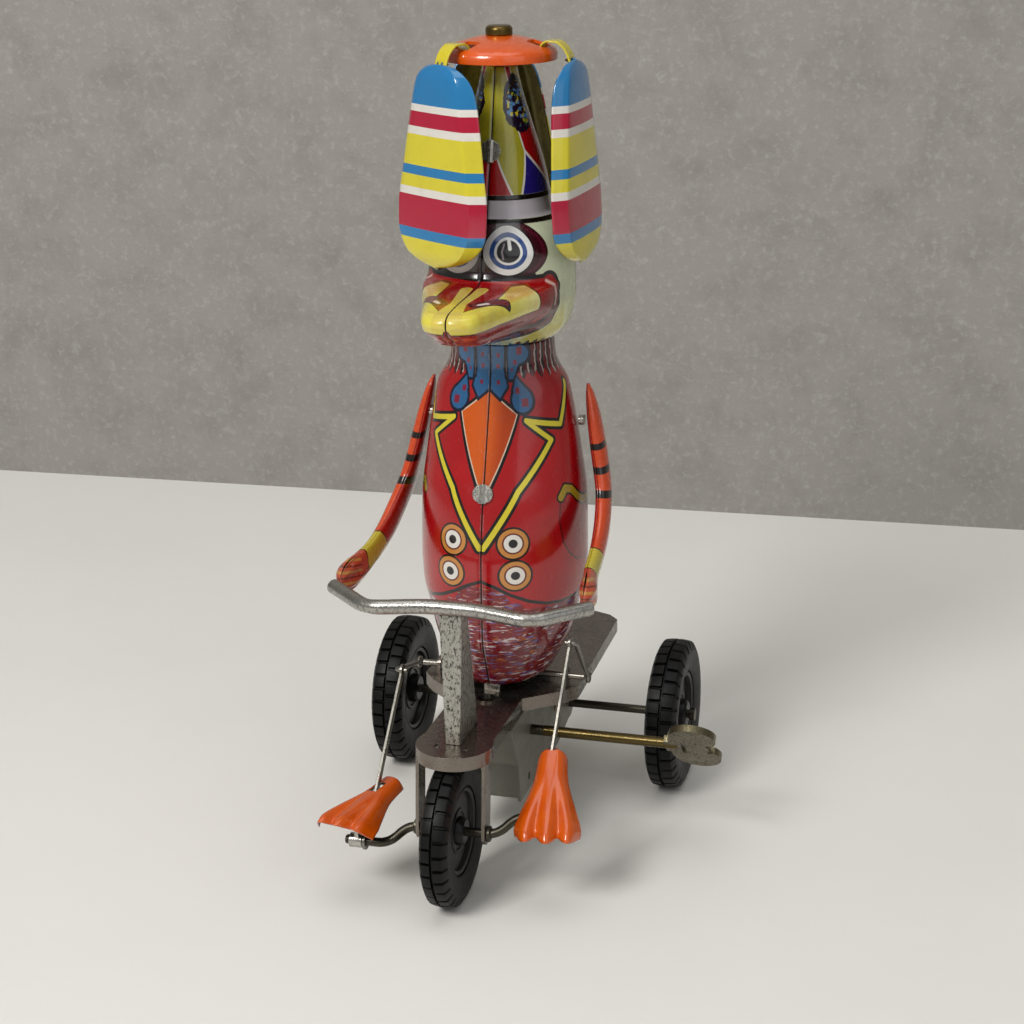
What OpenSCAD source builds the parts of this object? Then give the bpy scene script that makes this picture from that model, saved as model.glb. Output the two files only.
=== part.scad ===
// Clockwork tin tricycle toy with a pedalling bird rider and a spinning three-paddle hat.
// Millimetres, Z up. Origin on the ground under the middle of the rear axle.
// +X is the rider's left, the rider faces -Y.

/* [Wheels] */
// Outer radius of the two rear wheels
rear_r = 19.5; // [18.8:0.1:19.8]
// Width of a rear tyre
rear_w = 8.4; // [7.6:0.2:8.8]
// Distance from the middle plane to the middle of a rear wheel
rear_x = 36.9; // [35.5:0.1:37.5]
// Outer radius of the front wheel
front_r = 18.2; // [17.6:0.1:18.4]
// Width of the front tyre
front_w = 7.0; // [6.2:0.2:8]
// Radius of the front and rear axle wire
axle_r = 1.1; // [1:0.05:1.2]
// Running clearance round turning shafts
fit = 0.05; // [0.03:0.01:0.08]

/* [Frame] */
// Height of the top face of the stamped plate
plate_z = 39.4; // [39.3:0.1:39.8]
// Thickness of the stamped plate and the motor side plates
sheet = 0.8; // [0.6:0.1:0.8]
// Depth of the plate's turned-down edge
flange = 3.4; // [3:0.1:3.5]
// Diameter of the handlebar tube
bar_d = 3.2; // [2.8:0.1:3.4]

/* [Figure] */
// Wall thickness of the formed tin shells
tin = 0.5; // [0.4:0.05:0.6]
// Widest half width of the body
body_half = 20.5; // [19.6:0.1:20.6]
// How far the bill reaches forward of the figure's axis
bill_reach = 46.7; // [44:0.1:47.5]
// Height of the shoulder end of the arm
shoulder_z = 115; // [113:0.5:116]

/* [Hat] */
// Radius of the hat disc
disc_r = 13.6; // [13.5:0.05:13.8]
// Length of a paddle
paddle_l = 46.6; // [44:0.2:46.8]
// Widest half width of a paddle's middle panel
paddle_w = 12.6; // [10:0.2:12.8]
// Angle of a paddle's bent side wings
wing_a = 47; // [35:1:55]

/* [Pedals and key] */
// Throw of the pedal crank
throw = 5.1; // [4.6:0.1:5.3]
// Length of the winding key across its wings
key_span = 23.6; // [20:0.2:25]
// Radius of the winding key's shaft
key_r = 1.35; // [1.2:0.05:1.4]

/* [Hidden] */
$fn = 48;
small_fn = 32;  // facets of thin rods and their bores
sides = [-1, 1];  // right and left, as signs of X

// Places seen from the side are [y, z].
figure_y = -29.5;  // upright axis of the figure and spindle
rear_centre = [0, rear_r];
front_centre = [-78.3, front_r];
plate_bottom = plate_z - sheet;
flange_bottom = plate_z - flange;
hip = [-33, 41.2];
hip_pin_r = 0.76;
spindle_r = 1;

// Gear train: winding arbor, second arbor, idler, rear axle
tooth_module = 0.5;
great_teeth = 34;
pinion_teeth = 10;
second_teeth = 30;
idler_teeth = 25;
axle_teeth = 41;
winding_at = [-39.5, 28.5];
second_at = [figure_y, 23.92];
idler_at = joint(rear_centre, second_at, centre_distance(idler_teeth, axle_teeth),
    centre_distance(second_teeth, idler_teeth));
winding_r = 1.3;
pivot_r = 0.8;  // second arbor and idler arbor
arbor_end = 9.1;
pinion_turn = mesh_turn(winding_at, great_teeth, 0, second_at, pinion_teeth);
idler_turn = mesh_turn(second_at, second_teeth, 0, idler_at, idler_teeth);
axle_gear_turn = mesh_turn(idler_at, idler_teeth, idler_turn, rear_centre, axle_teeth);

// Colours shared by several pieces
bright_tin = [0.62, 0.61, 0.58];
pale_steel = [0.70, 0.69, 0.66];
brass = [0.62, 0.5, 0.26];
bush_brass = [0.6, 0.5, 0.25];
tyre_black = [0.05, 0.05, 0.05];
hub_black = [0.08, 0.08, 0.08];
body_red = [0.66, 0.05, 0.10];
head_green = [0.74, 0.78, 0.68];
arm_orange = [0.85, 0.35, 0.16];
arm_red = [0.75, 0.22, 0.14];
foot_orange = [0.84, 0.33, 0.04];
shank_grey = [0.66, 0.65, 0.62];
clip_grey = [0.6, 0.59, 0.56];
paddle_yellow = [0.86, 0.80, 0.22];

// ---------- helpers ----------
function unit(v) = v/norm(v);
function reversed(list) = [for (i = [len(list)-1:-1:0]) list[i]];
function at_x(x, place) = [x, place[0], place[1]];

// Where two links pinned at start and end meet, above the line when end lies forward of start.
function joint(start, end, start_link, end_link) =
    let(reach = norm(end - start), dir = (end - start)/reach,
        along = (start_link*start_link - end_link*end_link + reach*reach)/(2*reach),
        aside = sqrt(start_link*start_link - along*along))
    start + along*dir + aside*[dir[1], -dir[0]];

// Outward normal at one grid point. On a half shell the seam columns' normals stay in
// the YZ plane and those of the top and bottom rows stay level.
function grid_normal(grid, i, j, half_shell) =
    let(top = len(grid) - 1, last = len(grid[0]) - 1,
        up = grid[min(i + 1, top)][j] - grid[max(i - 1, 0)][j],
        across = grid[i][min(j + 1, last)] - grid[i][max(j - 1, 0)],
        raw = unit(cross(across, up)),
        seamed = half_shell && (j == 0 || j == last) ? [0, raw[1], raw[2]] : raw)
    unit(half_shell && (i == 0 || i == top) ? [seamed[0], seamed[1], 0] : seamed);

// Closed sheet of even thickness made from a grid of outer points:
// rows go up, columns go left to right seen from outside.
module sheet_grid(grid, thick, half_shell = false) {
    rows = len(grid);
    cols = len(grid[0]);
    inner = rows*cols;  // index of the first inner point
    top = (rows - 1)*cols;
    points = concat(
        [for (row = grid) each row],
        [for (i = [0:rows-1]) for (j = [0:cols-1])
            grid[i][j] - thick*grid_normal(grid, i, j, half_shell)]);
    walls = [for (i = [0:rows-2]) for (j = [0:cols-2])
        let(a = i*cols + j, b = a + 1, e = a + cols, d = e + 1)
        each [[a, e, d], [a, d, b],
            [a+inner, d+inner, e+inner], [a+inner, b+inner, d+inner]]];
    bottom_edge = [for (a = [0:cols-2]) let(b = a + 1)
        each [[a, b, b+inner], [a, b+inner, a+inner]]];
    top_edge = [for (j = [0:cols-2]) let(a = top + j, b = a + 1)
        each [[b, a, a+inner], [b, a+inner, b+inner]]];
    first_edge = [for (i = [0:rows-2]) let(a = i*cols, e = a + cols)
        each [[e, a, a+inner], [e, a+inner, e+inner]]];
    last_edge = [for (i = [0:rows-2]) let(b = i*cols + cols - 1, d = b + cols)
        each [[b, d, d+inner], [b, d+inner, b+inner]]];
    polyhedron(points = points, convexity = 6,
        faces = concat(walls, bottom_edge, top_edge, first_edge, last_edge));
}

// Round bar between any two points.
module bar(start, end, r) {
    v = end - start;
    translate(start)
        rotate([0, acos(v[2]/norm(v)), atan2(v[1], v[0])])
            cylinder(r = r, h = norm(v), $fn = small_fn);
}

module ball(centre, r) translate(centre) sphere(r = r, $fn = small_fn);

// Cylinder along X between x0 and x1, given in either order.
module x_rod(place, x0, x1, r, facets = 48)
    translate(at_x(min(x0, x1), place))
        rotate([0, 90, 0])
            cylinder(r = r, h = abs(x1 - x0), $fn = facets);

// Profile drawn in (y, z) as a slab between x0 and x1, given in either order.
module slab(x0, x1)
    translate([min(x0, x1), 0, 0])
        rotate([90, 0, 90])
            linear_extrude(height = abs(x1 - x0))
                children();

module hole(place, r) translate(place) circle(r = r, $fn = small_fn);

module mirror_x() mirror([1, 0, 0]) children();

// ---------- frame ----------
neck_half = 8.45;  // half width of the plate's narrow front part
nose_y = -75.4;
nose_r = 9.2;
ear_x = 16.7;  // outer face of a hip ear
column_hole_y = -48.6;
// Left half of the wide rear part: x, y, and how far x and y move per unit of inset
plate_edge = [
    [neck_half, -46.2, -1, 0.5], [16.7, -39.2, -1, 0.6], [19.8, -34.8, -1, 0.3],
    [18.9, 12.6, -1, -0.3], [16.2, 15.8, -0.6, -0.8], [10.9, 18, -0.3, -1]];

module plate_outline(inset) {
    edge = [for (p = plate_edge) [p[0] + p[2]*inset, p[1] + p[3]*inset]];
    translate([0, nose_y]) circle(r = nose_r - inset);
    translate([-(neck_half - inset), nose_y]) square([2*(neck_half - inset), 36]);
    polygon(concat(edge, [for (p = reversed(edge)) [-p[0], p[1]]]));
}

module fork_leg(side)
    slab(side*neck_half, side*(neck_half - sheet)) difference() {
        union() {
            polygon([[-79.2, plate_bottom + 0.2], [-80.9, front_centre[1]],
                [-75.9, front_centre[1]], [-73.9, plate_bottom + 0.2]]);
            translate(front_centre) circle(r = 2.6);
        }
        hole(front_centre, axle_r + fit);
    }

module hip_ear(side)
    slab(side*(ear_x - sheet), side*ear_x) difference() {
        union() {
            translate([-35.2, plate_z - 0.2]) square([4.4, 2]);
            translate(hip) circle(r = 2.2);
        }
        hole(hip, hip_pin_r + fit);
    }

module frame_plate() color([0.60, 0.58, 0.55]) {
    difference() {
        union() {
            translate([0, 0, plate_bottom]) linear_extrude(height = sheet) plate_outline(0);
            // turned-down edge
            difference() {
                translate([0, 0, flange_bottom])
                    linear_extrude(height = flange - sheet/2) plate_outline(0);
                translate([0, 0, flange_bottom - 1])
                    linear_extrude(height = flange + 1 - sheet) plate_outline(sheet);
            }
            translate([0, column_hole_y, plate_z]) cylinder(r = 2.9, h = 0.5);
        }
        translate([0, column_hole_y, plate_bottom - 1])
            cylinder(r = 2.3, h = 4, $fn = small_fn);
        // seat of the lower spindle bush
        translate([0, figure_y, plate_bottom - 1]) cylinder(r = 2.25, h = 4, $fn = small_fn);
        // two slots near the nose
        for (side = sides)
            translate([side*3.6 - 0.5, -79.2, plate_bottom - 1]) cube([1, 2.4, 4]);
    }
    for (side = sides) {
        fork_leg(side);
        hip_ear(side);
    }
}

column_sheet = 0.8;
column_foot = 1.8;  // half width at the plate
column_head = 2.75;  // half width at the top
column_top = 71.75;

// Front wall and two side walls that spread towards the top.
module steering_column() color(pale_steel) {
    spread = (column_head - column_foot)/(column_top - plate_z);
    middle = column_foot - column_sheet/2;  // of a side wall, at the plate
    translate([0, -76.2, 0])
        rotate([90, 0, 0])
            linear_extrude(height = column_sheet)
                polygon([[-column_foot, plate_z], [column_foot, plate_z],
                    [column_head, column_top], [-column_head, column_top]]);
    for (side = sides)
        multmatrix([
            [1, 0, side*spread, side*(middle - spread*plate_z) - column_sheet/2],
            [0, 1, 0, 0],
            [0, 0, 1, 0]])
            slab(0, column_sheet)
                polygon([[-76.9, plate_z], [-76.9, column_top],
                    [-72.4, column_top], [-62.3, plate_z]]);
}

// Bend points of the handlebar, right grip to left grip
bar_path = [[-31.1, -68.9, 73.4], [-19.5, -79.3, 72.9], [-6, -76.6, 73.4],
    [6, -76.6, 73.4], [19.5, -79.3, 72.9], [31.1, -68.9, 73.4]];

function wire_dir(path, i) =
    unit(path[min(i + 1, len(path) - 1)] - path[min(i, len(path) - 2)]);
// Normal of the cut across the wire at point i: square at the ends, mitred at a bend.
function wire_cut(path, i) =
    i == 0 ? wire_dir(path, 0)
    : i == len(path) - 1 ? wire_dir(path, i - 1)
    : unit(wire_dir(path, i - 1) + wire_dir(path, i));
// Section at point i, found by sliding the one before it along the wire to the cut.
function wire_ring(path, i, first) = i == 0 ? first :
    let(before = wire_ring(path, i - 1, first), dir = wire_dir(path, i - 1),
        cut = wire_cut(path, i))
    [for (q = before) q + dir*(((path[i] - q)*cut)/(dir*cut))];

// Bent round wire as one tube.
module wire(path, r, facets = 28) {
    dir = wire_dir(path, 0);
    across = unit(cross(dir, [0, 0, 1]));
    upright = cross(dir, across);
    first = [for (k = [0:facets-1])
        path[0] + r*(cos(k*360/facets)*across + sin(k*360/facets)*upright)];
    last = len(path) - 1;
    polyhedron(
        points = [for (i = [0:last]) each wire_ring(path, i, first)],
        faces = concat(
            [[for (k = [0:facets-1]) k]],
            [[for (k = [facets-1:-1:0]) last*facets + k]],
            [for (i = [0:last-1]) for (k = [0:facets-1]) let(next = (k + 1)%facets)
                [i*facets + k, (i+1)*facets + k, (i+1)*facets + next, i*facets + next]]));
}

module handlebar() color([0.72, 0.71, 0.69]) wire(bar_path, bar_d/2);

// ---------- motor housing ----------
motor_half = 8.1;  // middle plane to the inner face of a side plate

module motor_side(side)
    slab(side*motor_half, side*(motor_half + sheet)) difference() {
        union() {
            polygon([[-58.6, flange_bottom - 0.05], [-51.9, 24], [-50, 13.4], [-13, 13.4],
                [-1, 15.7], [0, rear_centre[1] + 3.8], [-9, 31], [-9, plate_bottom],
                [-44.5, plate_bottom], [-44.5, flange_bottom - 0.05]]);
            translate(rear_centre) circle(r = 4);
        }
        hole(rear_centre, axle_r + fit);
        hole(winding_at, winding_r + fit);
        hole(second_at, pivot_r + fit);
        hole(idler_at, pivot_r + fit);
        translate([-42, 17]) circle(r = 1);
    }

module motor_plate_left() color(bright_tin) motor_side(1);
module motor_plate_right() color(bright_tin) motor_side(-1);

// Bent strip across the front and bottom, between the side plates.
module motor_cover() color([0.58, 0.57, 0.54]) slab(-8, 8)
    polygon([[-57.6, 35.4], [-50.95, 23.6], [-49.2, 13.9], [-14, 13.9],
        [-14, 14.5], [-48.7, 14.5], [-50.35, 23.9], [-57.0, 35.6]]);

module motor_pillars() color([0.5, 0.49, 0.46])
    for (place = [[-54.1, 33.8], [-47.2, 17.4], [-13.5, 36.2]])
        x_rod(place, -8.08, 8.08, 1.2);

// Solid coil with ring grooves in its right face.
module mainspring() color([0.28, 0.3, 0.36]) difference() {
    x_rod(winding_at, -0.9, 3.9, 7);
    x_rod(winding_at, -1.9, 4.9, 2.2);
    for (groove_r = [3.2, 4.3, 5.4]) difference() {
        x_rod(winding_at, -2, -0.5, groove_r + 0.35);
        x_rod(winding_at, -2.1, -0.4, groove_r - 0.05);
    }
}

module hip_pin() color(bright_tin) x_rod(hip, -21.1, 21.1, hip_pin_r);

// ---------- body ----------
body_z = [42, 44, 47, 50, 54, 59, 64, 70, 77, 84, 90, 96, 102, 107, 112,
    115.5, 118.5, 121.5, 124.5, 127];
// Reach from the figure's axis to each side, to the front and to the back: [z, reach]
body_side = [[42, 11.5], [47, 14.1], [52, 16.5], [61, 18.8], [66, 20.1], [73, 20.5],
    [86, 20.4], [98.7, 19], [112, 16.8], [116, 15.9], [122, 12.7], [127, 12.4]];
body_front = [[42, 16.4], [44, 17.4], [46, 18.2], [56, 22.1], [66, 22.3], [74, 22.3],
    [80, 21.6], [88.6, 20.2], [95.5, 18.1], [113.8, 12.9], [118, 11.8], [127, 11.4]];
body_back = [[42, 12.8], [47, 15.6], [56, 18.6], [66, 20.4], [80, 20.6], [90, 19.6],
    [105, 17.2], [116, 14.2], [122, 12.2], [127, 11.6]];
body_side_widest = 20.5;  // largest reach in body_side
seam_gap = 0.02;  // half shells stop this far from the middle plane

// Angle runs from -90 at the front through 0 at the side to 90 at the back.
function body_point(z, angle) = [
    max(seam_gap, lookup(z, body_side)*body_half/body_side_widest*cos(angle)),
    figure_y + lookup(z, angle < 0 ? body_front : body_back)*sin(angle),
    z];
body_grid = [for (z = body_z) [for (j = [0:14]) body_point(z, -90 + j*180/14)]];

module body_shell() sheet_grid(body_grid, tin, half_shell = true);
module body_shell_left() color(body_red) body_shell();
module body_shell_right() color(body_red) mirror_x() body_shell();

// Small plate over the front seam; reach is forward of the figure's axis.
module seam_clip(reach, z, tilt, width, height, stand)
    translate([0, figure_y - reach, z])
        rotate([tilt, 0, 0])
            translate([-width/2, -stand, -height/2])
                cube([width, 0.55, height]);

module body_seam_clip() color(bright_tin)
    seam_clip(reach = 19.35, z = 92, tilt = -17, width = 4.8, height = 4.4, stand = 0.75);

module body_tabs() color(bright_tin)
    for (y = [figure_y - 13.9, figure_y + 11.9])
        translate([-2, y - 0.25, plate_z]) cube([4, 0.5, body_z[0] - plate_z - 0.02]);

// ---------- head and hat cone ----------
head_z = [127.1, 128.5, 131, 133.3, 135, 136.6, 138, 139.4, 140.6, 141.5, 142.2, 142.6,
    143.0, 143.8, 145.4, 148, 151, 154, 157, 159, 162, 166, 171, 175, 179, 183, 187, 191];
// Reach from the figure's axis to each side, to the front and to the back: [z, reach]
head_side = [[127.1, 12.6], [128.5, 14.2], [131, 16.1], [135, 17.4], [138, 17.8],
    [148, 17.8], [151, 17.3], [154, 16.2], [157, 14.0], [159, 12.1], [162, 11.6],
    [166, 10.9], [171, 9.6], [178, 7.5], [185, 5.4], [191, 4.0]];
head_front = [[127.1, 12.2], [128.5, 14], [131, 15.8], [135, 17.0], [138, 17.9],
    [149, 17.9], [154, 14.9], [157, 12.4], [159, 12.0], [162, 11.4], [166, 10.6],
    [172, 8.5], [181, 6.3], [191, 4.0]];
head_back = [[127.1, 12.4], [131, 16.2], [138, 18.4], [148, 18.2], [154, 16],
    [159, 12.2], [166, 11.2], [178, 7.6], [191, 4.0]];
// [z, share of the bill's reach]
bill_share = [[127.1, 0], [128.5, 0.12], [131, 0.42], [133.3, 0.79], [135, 0.88],
    [136.6, 0.945], [138, 0.98], [139.4, 1], [140.6, 0.99], [141.5, 0.955],
    [142.2, 0.69], [142.6, 0.30], [143.0, 0.10], [143.8, 0.03], [145.4, 0]];
// Bill outline in plan: [angle from straight ahead, reach beyond the head's wall]
bill_plan = [[0, 28.9], [3.5, 28.7], [7.1, 28.0], [10.4, 23.3], [14, 18.1],
    [18.2, 14.2], [25, 9.5], [32.4, 6.5], [44, 3.8], [60, 0.9], [72, 0]];
bill_root = 17.8;  // reach at which the bill starts
bill_scale = (bill_reach - bill_root)/bill_plan[0][1];
head_angles = [0, 3.5, 7.1, 10.4, 14, 18.2, 25, 32.4, 44, 60,
    75, 90, 105, 120, 135, 150, 165, 180];  // from straight ahead

function head_reach(z, angle) =
    let(ahead = lookup(z, angle < 90 ? head_front : head_back), side = lookup(z, head_side),
        c = cos(angle), s = sin(angle))
    1/sqrt(c*c/(ahead*ahead) + s*s/(side*side))
        + lookup(z, bill_share)*lookup(angle, bill_plan)*bill_scale;
head_grid = [for (z = head_z) [for (angle = head_angles) let(reach = head_reach(z, angle))
    [max(seam_gap, reach*sin(angle)), figure_y - reach*cos(angle), z]]];

module head_shell() sheet_grid(head_grid, tin, half_shell = true);
module head_shell_left() color(head_green) head_shell();
module head_shell_right() color(head_green) mirror_x() head_shell();

module hat_seam_clip() color(bright_tin)
    seam_clip(reach = 8.5, z = 172, tilt = -12, width = 5, height = 5.2, stand = 0.95);

// ---------- arms ----------
arm_tin = 0.4;
// Share of the arm's length, shoulder 0 to hand 1
arm_stations = [0, 0.05, 0.12, 0.22, 0.34, 0.46, 0.58, 0.68, 0.78, 0.86, 0.93, 0.98, 1];
// Centre line of the left arm: [share, x], [share, y] and [share, z from the shoulder]
arm_x = [[0, 20.3], [0.2, 22.6], [0.4, 25], [0.7, 28], [0.9, 30], [1, 30.6]];
arm_y = [[0, -26.6], [0.2, -27.6], [0.34, -29.5], [0.46, -34], [0.58, -40.5],
    [0.7, -48.5], [0.85, -58], [1, -66.3]];
arm_z = [[0, 0], [0.2, -15], [0.34, -24.5], [0.46, -31], [0.58, -36],
    [0.7, -39.3], [0.85, -41.4], [1, -41.8]];
// [share, half width]
arm_half = [[0, 0.5], [0.05, 2.0], [0.12, 3.1], [0.25, 3.6], [0.5, 3.5],
    [0.7, 3.1], [0.8, 3.6], [0.9, 3.7], [0.96, 2.6], [1, 0.7]];

function arm_centre(s) = [lookup(s, arm_x), lookup(s, arm_y), shoulder_z + lookup(s, arm_z)];
// Direction across the arm, seen from the side.
function arm_across(s) =
    let(run = arm_centre(min(1, s + 0.04)) - arm_centre(max(0, s - 0.04)),
        dir = unit([0, run[1], run[2]]))
    [0, -dir[2], dir[1]];
// One half of the left arm: face 1 is the outer half, -1 the inner.
// Bulge is its depth as a share of its half width.
function arm_grid(face, bulge) = [for (s = reversed(arm_stations))
    let(half = lookup(s, arm_half))
    [for (angle = [0:30:180]) arm_centre(s)
        + face*([0.05 + half*bulge*sin(angle), 0, 0] - half*cos(angle)*arm_across(s))]];

module arm_outer() sheet_grid(arm_grid(1, 0.72), arm_tin);
module arm_inner() sheet_grid(arm_grid(-1, 0.34), arm_tin);
module arm_left_outer() color(arm_orange) arm_outer();
module arm_left_inner() color(arm_red) arm_inner();
module arm_right_outer() color(arm_orange) mirror_x() arm_outer();
module arm_right_inner() color(arm_red) mirror_x() arm_inner();

module shoulder_rivet(side) x_rod([-27.4, 106], side*18.35, side*19.75, 1.3);
module shoulder_rivet_left() color(bright_tin) shoulder_rivet(1);
module shoulder_rivet_right() color(bright_tin) shoulder_rivet(-1);

// ---------- spindle bushes ----------
module spindle_bush_lower() color(bush_brass)
    translate([0, figure_y, plate_bottom]) difference() {
        union() {
            cylinder(r = 2.2, h = 1.6);
            translate([0, 0, sheet + 0.02]) cylinder(r = 2.6, h = 0.9);
        }
        translate([0, 0, -1]) cylinder(r = spindle_r + fit, h = 4, $fn = small_fn);
    }

module spindle_bush_upper() color(bush_brass)
    translate([0, figure_y, 187.6]) difference() {
        cylinder(r = 3.38, h = 3.3);
        translate([0, 0, -1]) cylinder(r = spindle_r + fit, h = 6, $fn = small_fn);
    }

// ---------- wheels ----------
front_bore = 10.8;  // inner radius of the front tyre
rear_bore = 11.4;
rim_gap = 0.02;  // hub to tyre

module tyre(x, centre, r, width, bore) {
    half = width/2;
    // [radius, distance from the middle of the tyre]
    profile = [[bore, half - 0.9], [bore + 1.2, half - 0.3], [r - 4.5, half],
        [r - 1.56, half - 0.5], [r, half - 1.95]];
    translate(at_x(x, centre))
        rotate([0, 90, 0])
            rotate_extrude($fn = 96)
                polygon(concat([for (p = profile) [p[0], -p[1]]], reversed(profile)));
}

// Web, rim and boss round the axle.
module hub(x, centre, r, width, boss_r)
    translate(at_x(x, centre)) rotate([0, 90, 0]) difference() {
        union() {
            cylinder(r = r, h = width*0.36, center = true);
            difference() {
                cylinder(r = r, h = width - 2.2, center = true);
                cylinder(r = r - 1.4, h = width, center = true);
            }
            cylinder(r = boss_r, h = width - 0.6, center = true);
        }
        cylinder(r = axle_r, h = width + 2, center = true, $fn = small_fn);
    }

module front_tyre() color(tyre_black) tyre(0, front_centre, front_r, front_w, front_bore);
module front_hub() color(hub_black)
    hub(0, front_centre, front_bore - rim_gap, front_w, boss_r = 3.2);

module rear_tyre(side) tyre(side*rear_x, rear_centre, rear_r, rear_w, rear_bore);
module rear_hub(side)
    hub(side*rear_x, rear_centre, rear_bore - rim_gap, rear_w, boss_r = 3.6);
module rear_tyre_left() color(tyre_black) rear_tyre(1);
module rear_tyre_right() color(tyre_black) rear_tyre(-1);
module rear_hub_left() color(hub_black) rear_hub(1);
module rear_hub_right() color(hub_black) rear_hub(-1);

// Axle wire with an end cap on each side.
module rear_axle() color([0.4, 0.39, 0.36]) {
    x_rod(rear_centre, -42.6, 42.6, axle_r);
    for (side = sides) x_rod(rear_centre, side*41.4, side*42.8, 1.7);
}

// ---------- crank and legs ----------
crank_x = 11.2;  // where the axle bends into the crank
pin_x = 14.6;  // where the crank bends into the pedal pin
thigh = 19;  // length, hip to knee
shank = 44;  // length, knee to pedal pin
leg_x = 20.6;  // middle of a shank
thigh_x = 22;
knee_r = 0.65;

function pedal_pin(side) = front_centre + side*throw*[cos(45), sin(45)];
function knee(side) = joint(hip, pedal_pin(side), thigh, shank);

module crank_axle() color([0.42, 0.41, 0.38]) {
    x_rod(front_centre, -crank_x, crank_x, axle_r);
    for (side = sides) {
        bend = at_x(side*crank_x, front_centre);
        pin = at_x(side*pin_x, pedal_pin(side));
        ball(bend, axle_r + 0.1);
        bar(bend, pin, axle_r);
        ball(pin, axle_r + 0.1);
        bar(pin, at_x(side*25.4, pedal_pin(side)), axle_r);
        // collar outside the fork leg
        x_rod(front_centre, side*8.6, side*9.4, 1.9);
    }
}

// Foot shell in its own frame: heel at the origin, toes along -Y, top face up.
// Share of the foot's length, heel 0 to toes 1
foot_stations = [0, 0.02, 0.06, 0.12, 0.22, 0.35, 0.5, 0.62, 0.74, 0.84, 0.92, 0.97, 1];
// Share of the half width
foot_columns = [1, 0.86, 0.7, 0.52, 0.36, 0.2, 0, -0.2, -0.36, -0.52, -0.7, -0.86, -1];
// [share of length, half width]
foot_half = [[0, 1.6], [0.02, 2.4], [0.06, 3.1], [0.12, 3.5], [0.22, 3.7], [0.35, 4.1],
    [0.5, 5.1], [0.62, 6.1], [0.74, 7.0], [0.84, 7.7], [0.92, 7.9], [1, 7.7]];

// 1 along the middle of each of the three toes, 0 between them.
function toe(u) = 0.5 + 0.5*cos(u*360*1.5);
function foot_point(s, u) =
    let(rib = s > 0.3 ? (s - 0.3)/0.7*0.9*toe(u) : 0,
        tip = pow(s, 6)*(1.9*toe(u) - 1.6*u*u),
        heel_drop = s < 0.06 ? (0.06 - s)*24 : 0,
        toe_drop = s > 0.9 ? pow((s - 0.9)*10, 2)*0.9 : 0)
    [lookup(s, foot_half)*u,
        -(24.6*s + tip),
        -2.6*pow(abs(u), 3.2) - 0.9*s*s + rib - heel_drop - toe_drop];

// Pose of each foot on its pedal pin: x, pitch, yaw, height of the foot above the pin
left_pose = [22.6, 35, 9, 6];
right_pose = [-22.2, 4, -14, 9.4];
function pose(side) = side > 0 ? left_pose : right_pose;

module at_pedal(side)
    translate(at_x(pose(side)[0], pedal_pin(side)))
        rotate([0, 0, pose(side)[2]])
            rotate([pose(side)[1], 0, 0])
                children();

// The slot lets the shank through the foot's top; its spans are in the foot's frame.
module foot(side, slot_x, slot_y)
    at_pedal(side) translate([0, 17, pose(side)[3]]) difference() {
        sheet_grid([for (s = foot_stations) [for (u = foot_columns) foot_point(s, u)]], 0.4);
        translate([slot_x[0], slot_y[0], -6])
            cube([slot_x[1] - slot_x[0], slot_y[1] - slot_y[0], 10]);
    }
module foot_left() color(foot_orange) foot(1, slot_x = [-1.1, 0.7], slot_y = [-1.6, 1.5]);
module foot_right() color(foot_orange) foot(-1, slot_x = [-1.9, 0.45], slot_y = [-9.3, -4.3]);

module shank_bar(side) {
    top = knee(side);
    pin = pedal_pin(side);
    dir = unit(pin - top);
    across = [dir[1], -dir[0]];
    slab(side*leg_x - 0.35, side*leg_x + 0.35) difference() {
        union() {
            polygon([top + 0.8*across, pin + 1.1*across, pin - 1.1*across, top - 0.8*across]);
            translate(top) circle(r = 1.5);
            translate(pin) circle(r = 2.1);
        }
        hole(top, knee_r + fit);
        hole(pin, axle_r + fit);
    }
}
module shank_left() color(shank_grey) shank_bar(1);
module shank_right() color(shank_grey) shank_bar(-1);

// Sleeve on the pedal pin with an upright that carries the foot.
module pedal_clip(side) difference() {
    union() {
        x_rod(pedal_pin(side), side*21.2, side*24.4, 1.75);
        at_pedal(side) translate([-0.5, -1.2, 0]) cube([1, 2.4, pose(side)[3] - 0.45]);
    }
    x_rod(pedal_pin(side), side*20, side*26, axle_r + fit, small_fn);
}
module pedal_clip_left() color(clip_grey) pedal_clip(1);
module pedal_clip_right() color(clip_grey) pedal_clip(-1);

// Wire from the hip, bent inward through the knee, with a round eye at the hip.
module thigh_wire(side) {
    bend = at_x(side*thigh_x, knee(side));
    x_rod(knee(side), side*19.3, side*thigh_x, knee_r, small_fn);
    bar(bend, at_x(side*thigh_x, hip), 0.6);
    ball(bend, knee_r);
    x_rod(hip, side*21.4, side*22.6, 1.4);
}
module thigh_left() color(pale_steel) thigh_wire(1);
module thigh_right() color(pale_steel) thigh_wire(-1);

// ---------- gears ----------
train_x = [-7.2, -6.2];  // faces of the second wheel, idler and axle gear
contrate_teeth = 28;
// One tooth: [modules out from the pitch circle, share of the tooth pitch]
tooth = [[-1.2, -0.29], [0, -0.22], [1, -0.10], [1, 0.10], [0, 0.22], [-1.2, 0.29]];

function pitch_r(teeth) = tooth_module*teeth/2;
function centre_distance(teeth_a, teeth_b) = pitch_r(teeth_a) + pitch_r(teeth_b);
// Turn of a gear placed at `to` so that it meshes with a turned gear at `from`.
function mesh_turn(from, from_teeth, from_turn, to, teeth) =
    let(bearing = atan2(to[1] - from[1], to[0] - from[0]),
        phase = (bearing - from_turn)*from_teeth/360)
    bearing + 180 + (phase - floor(phase))*360/teeth - 180/teeth;

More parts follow.
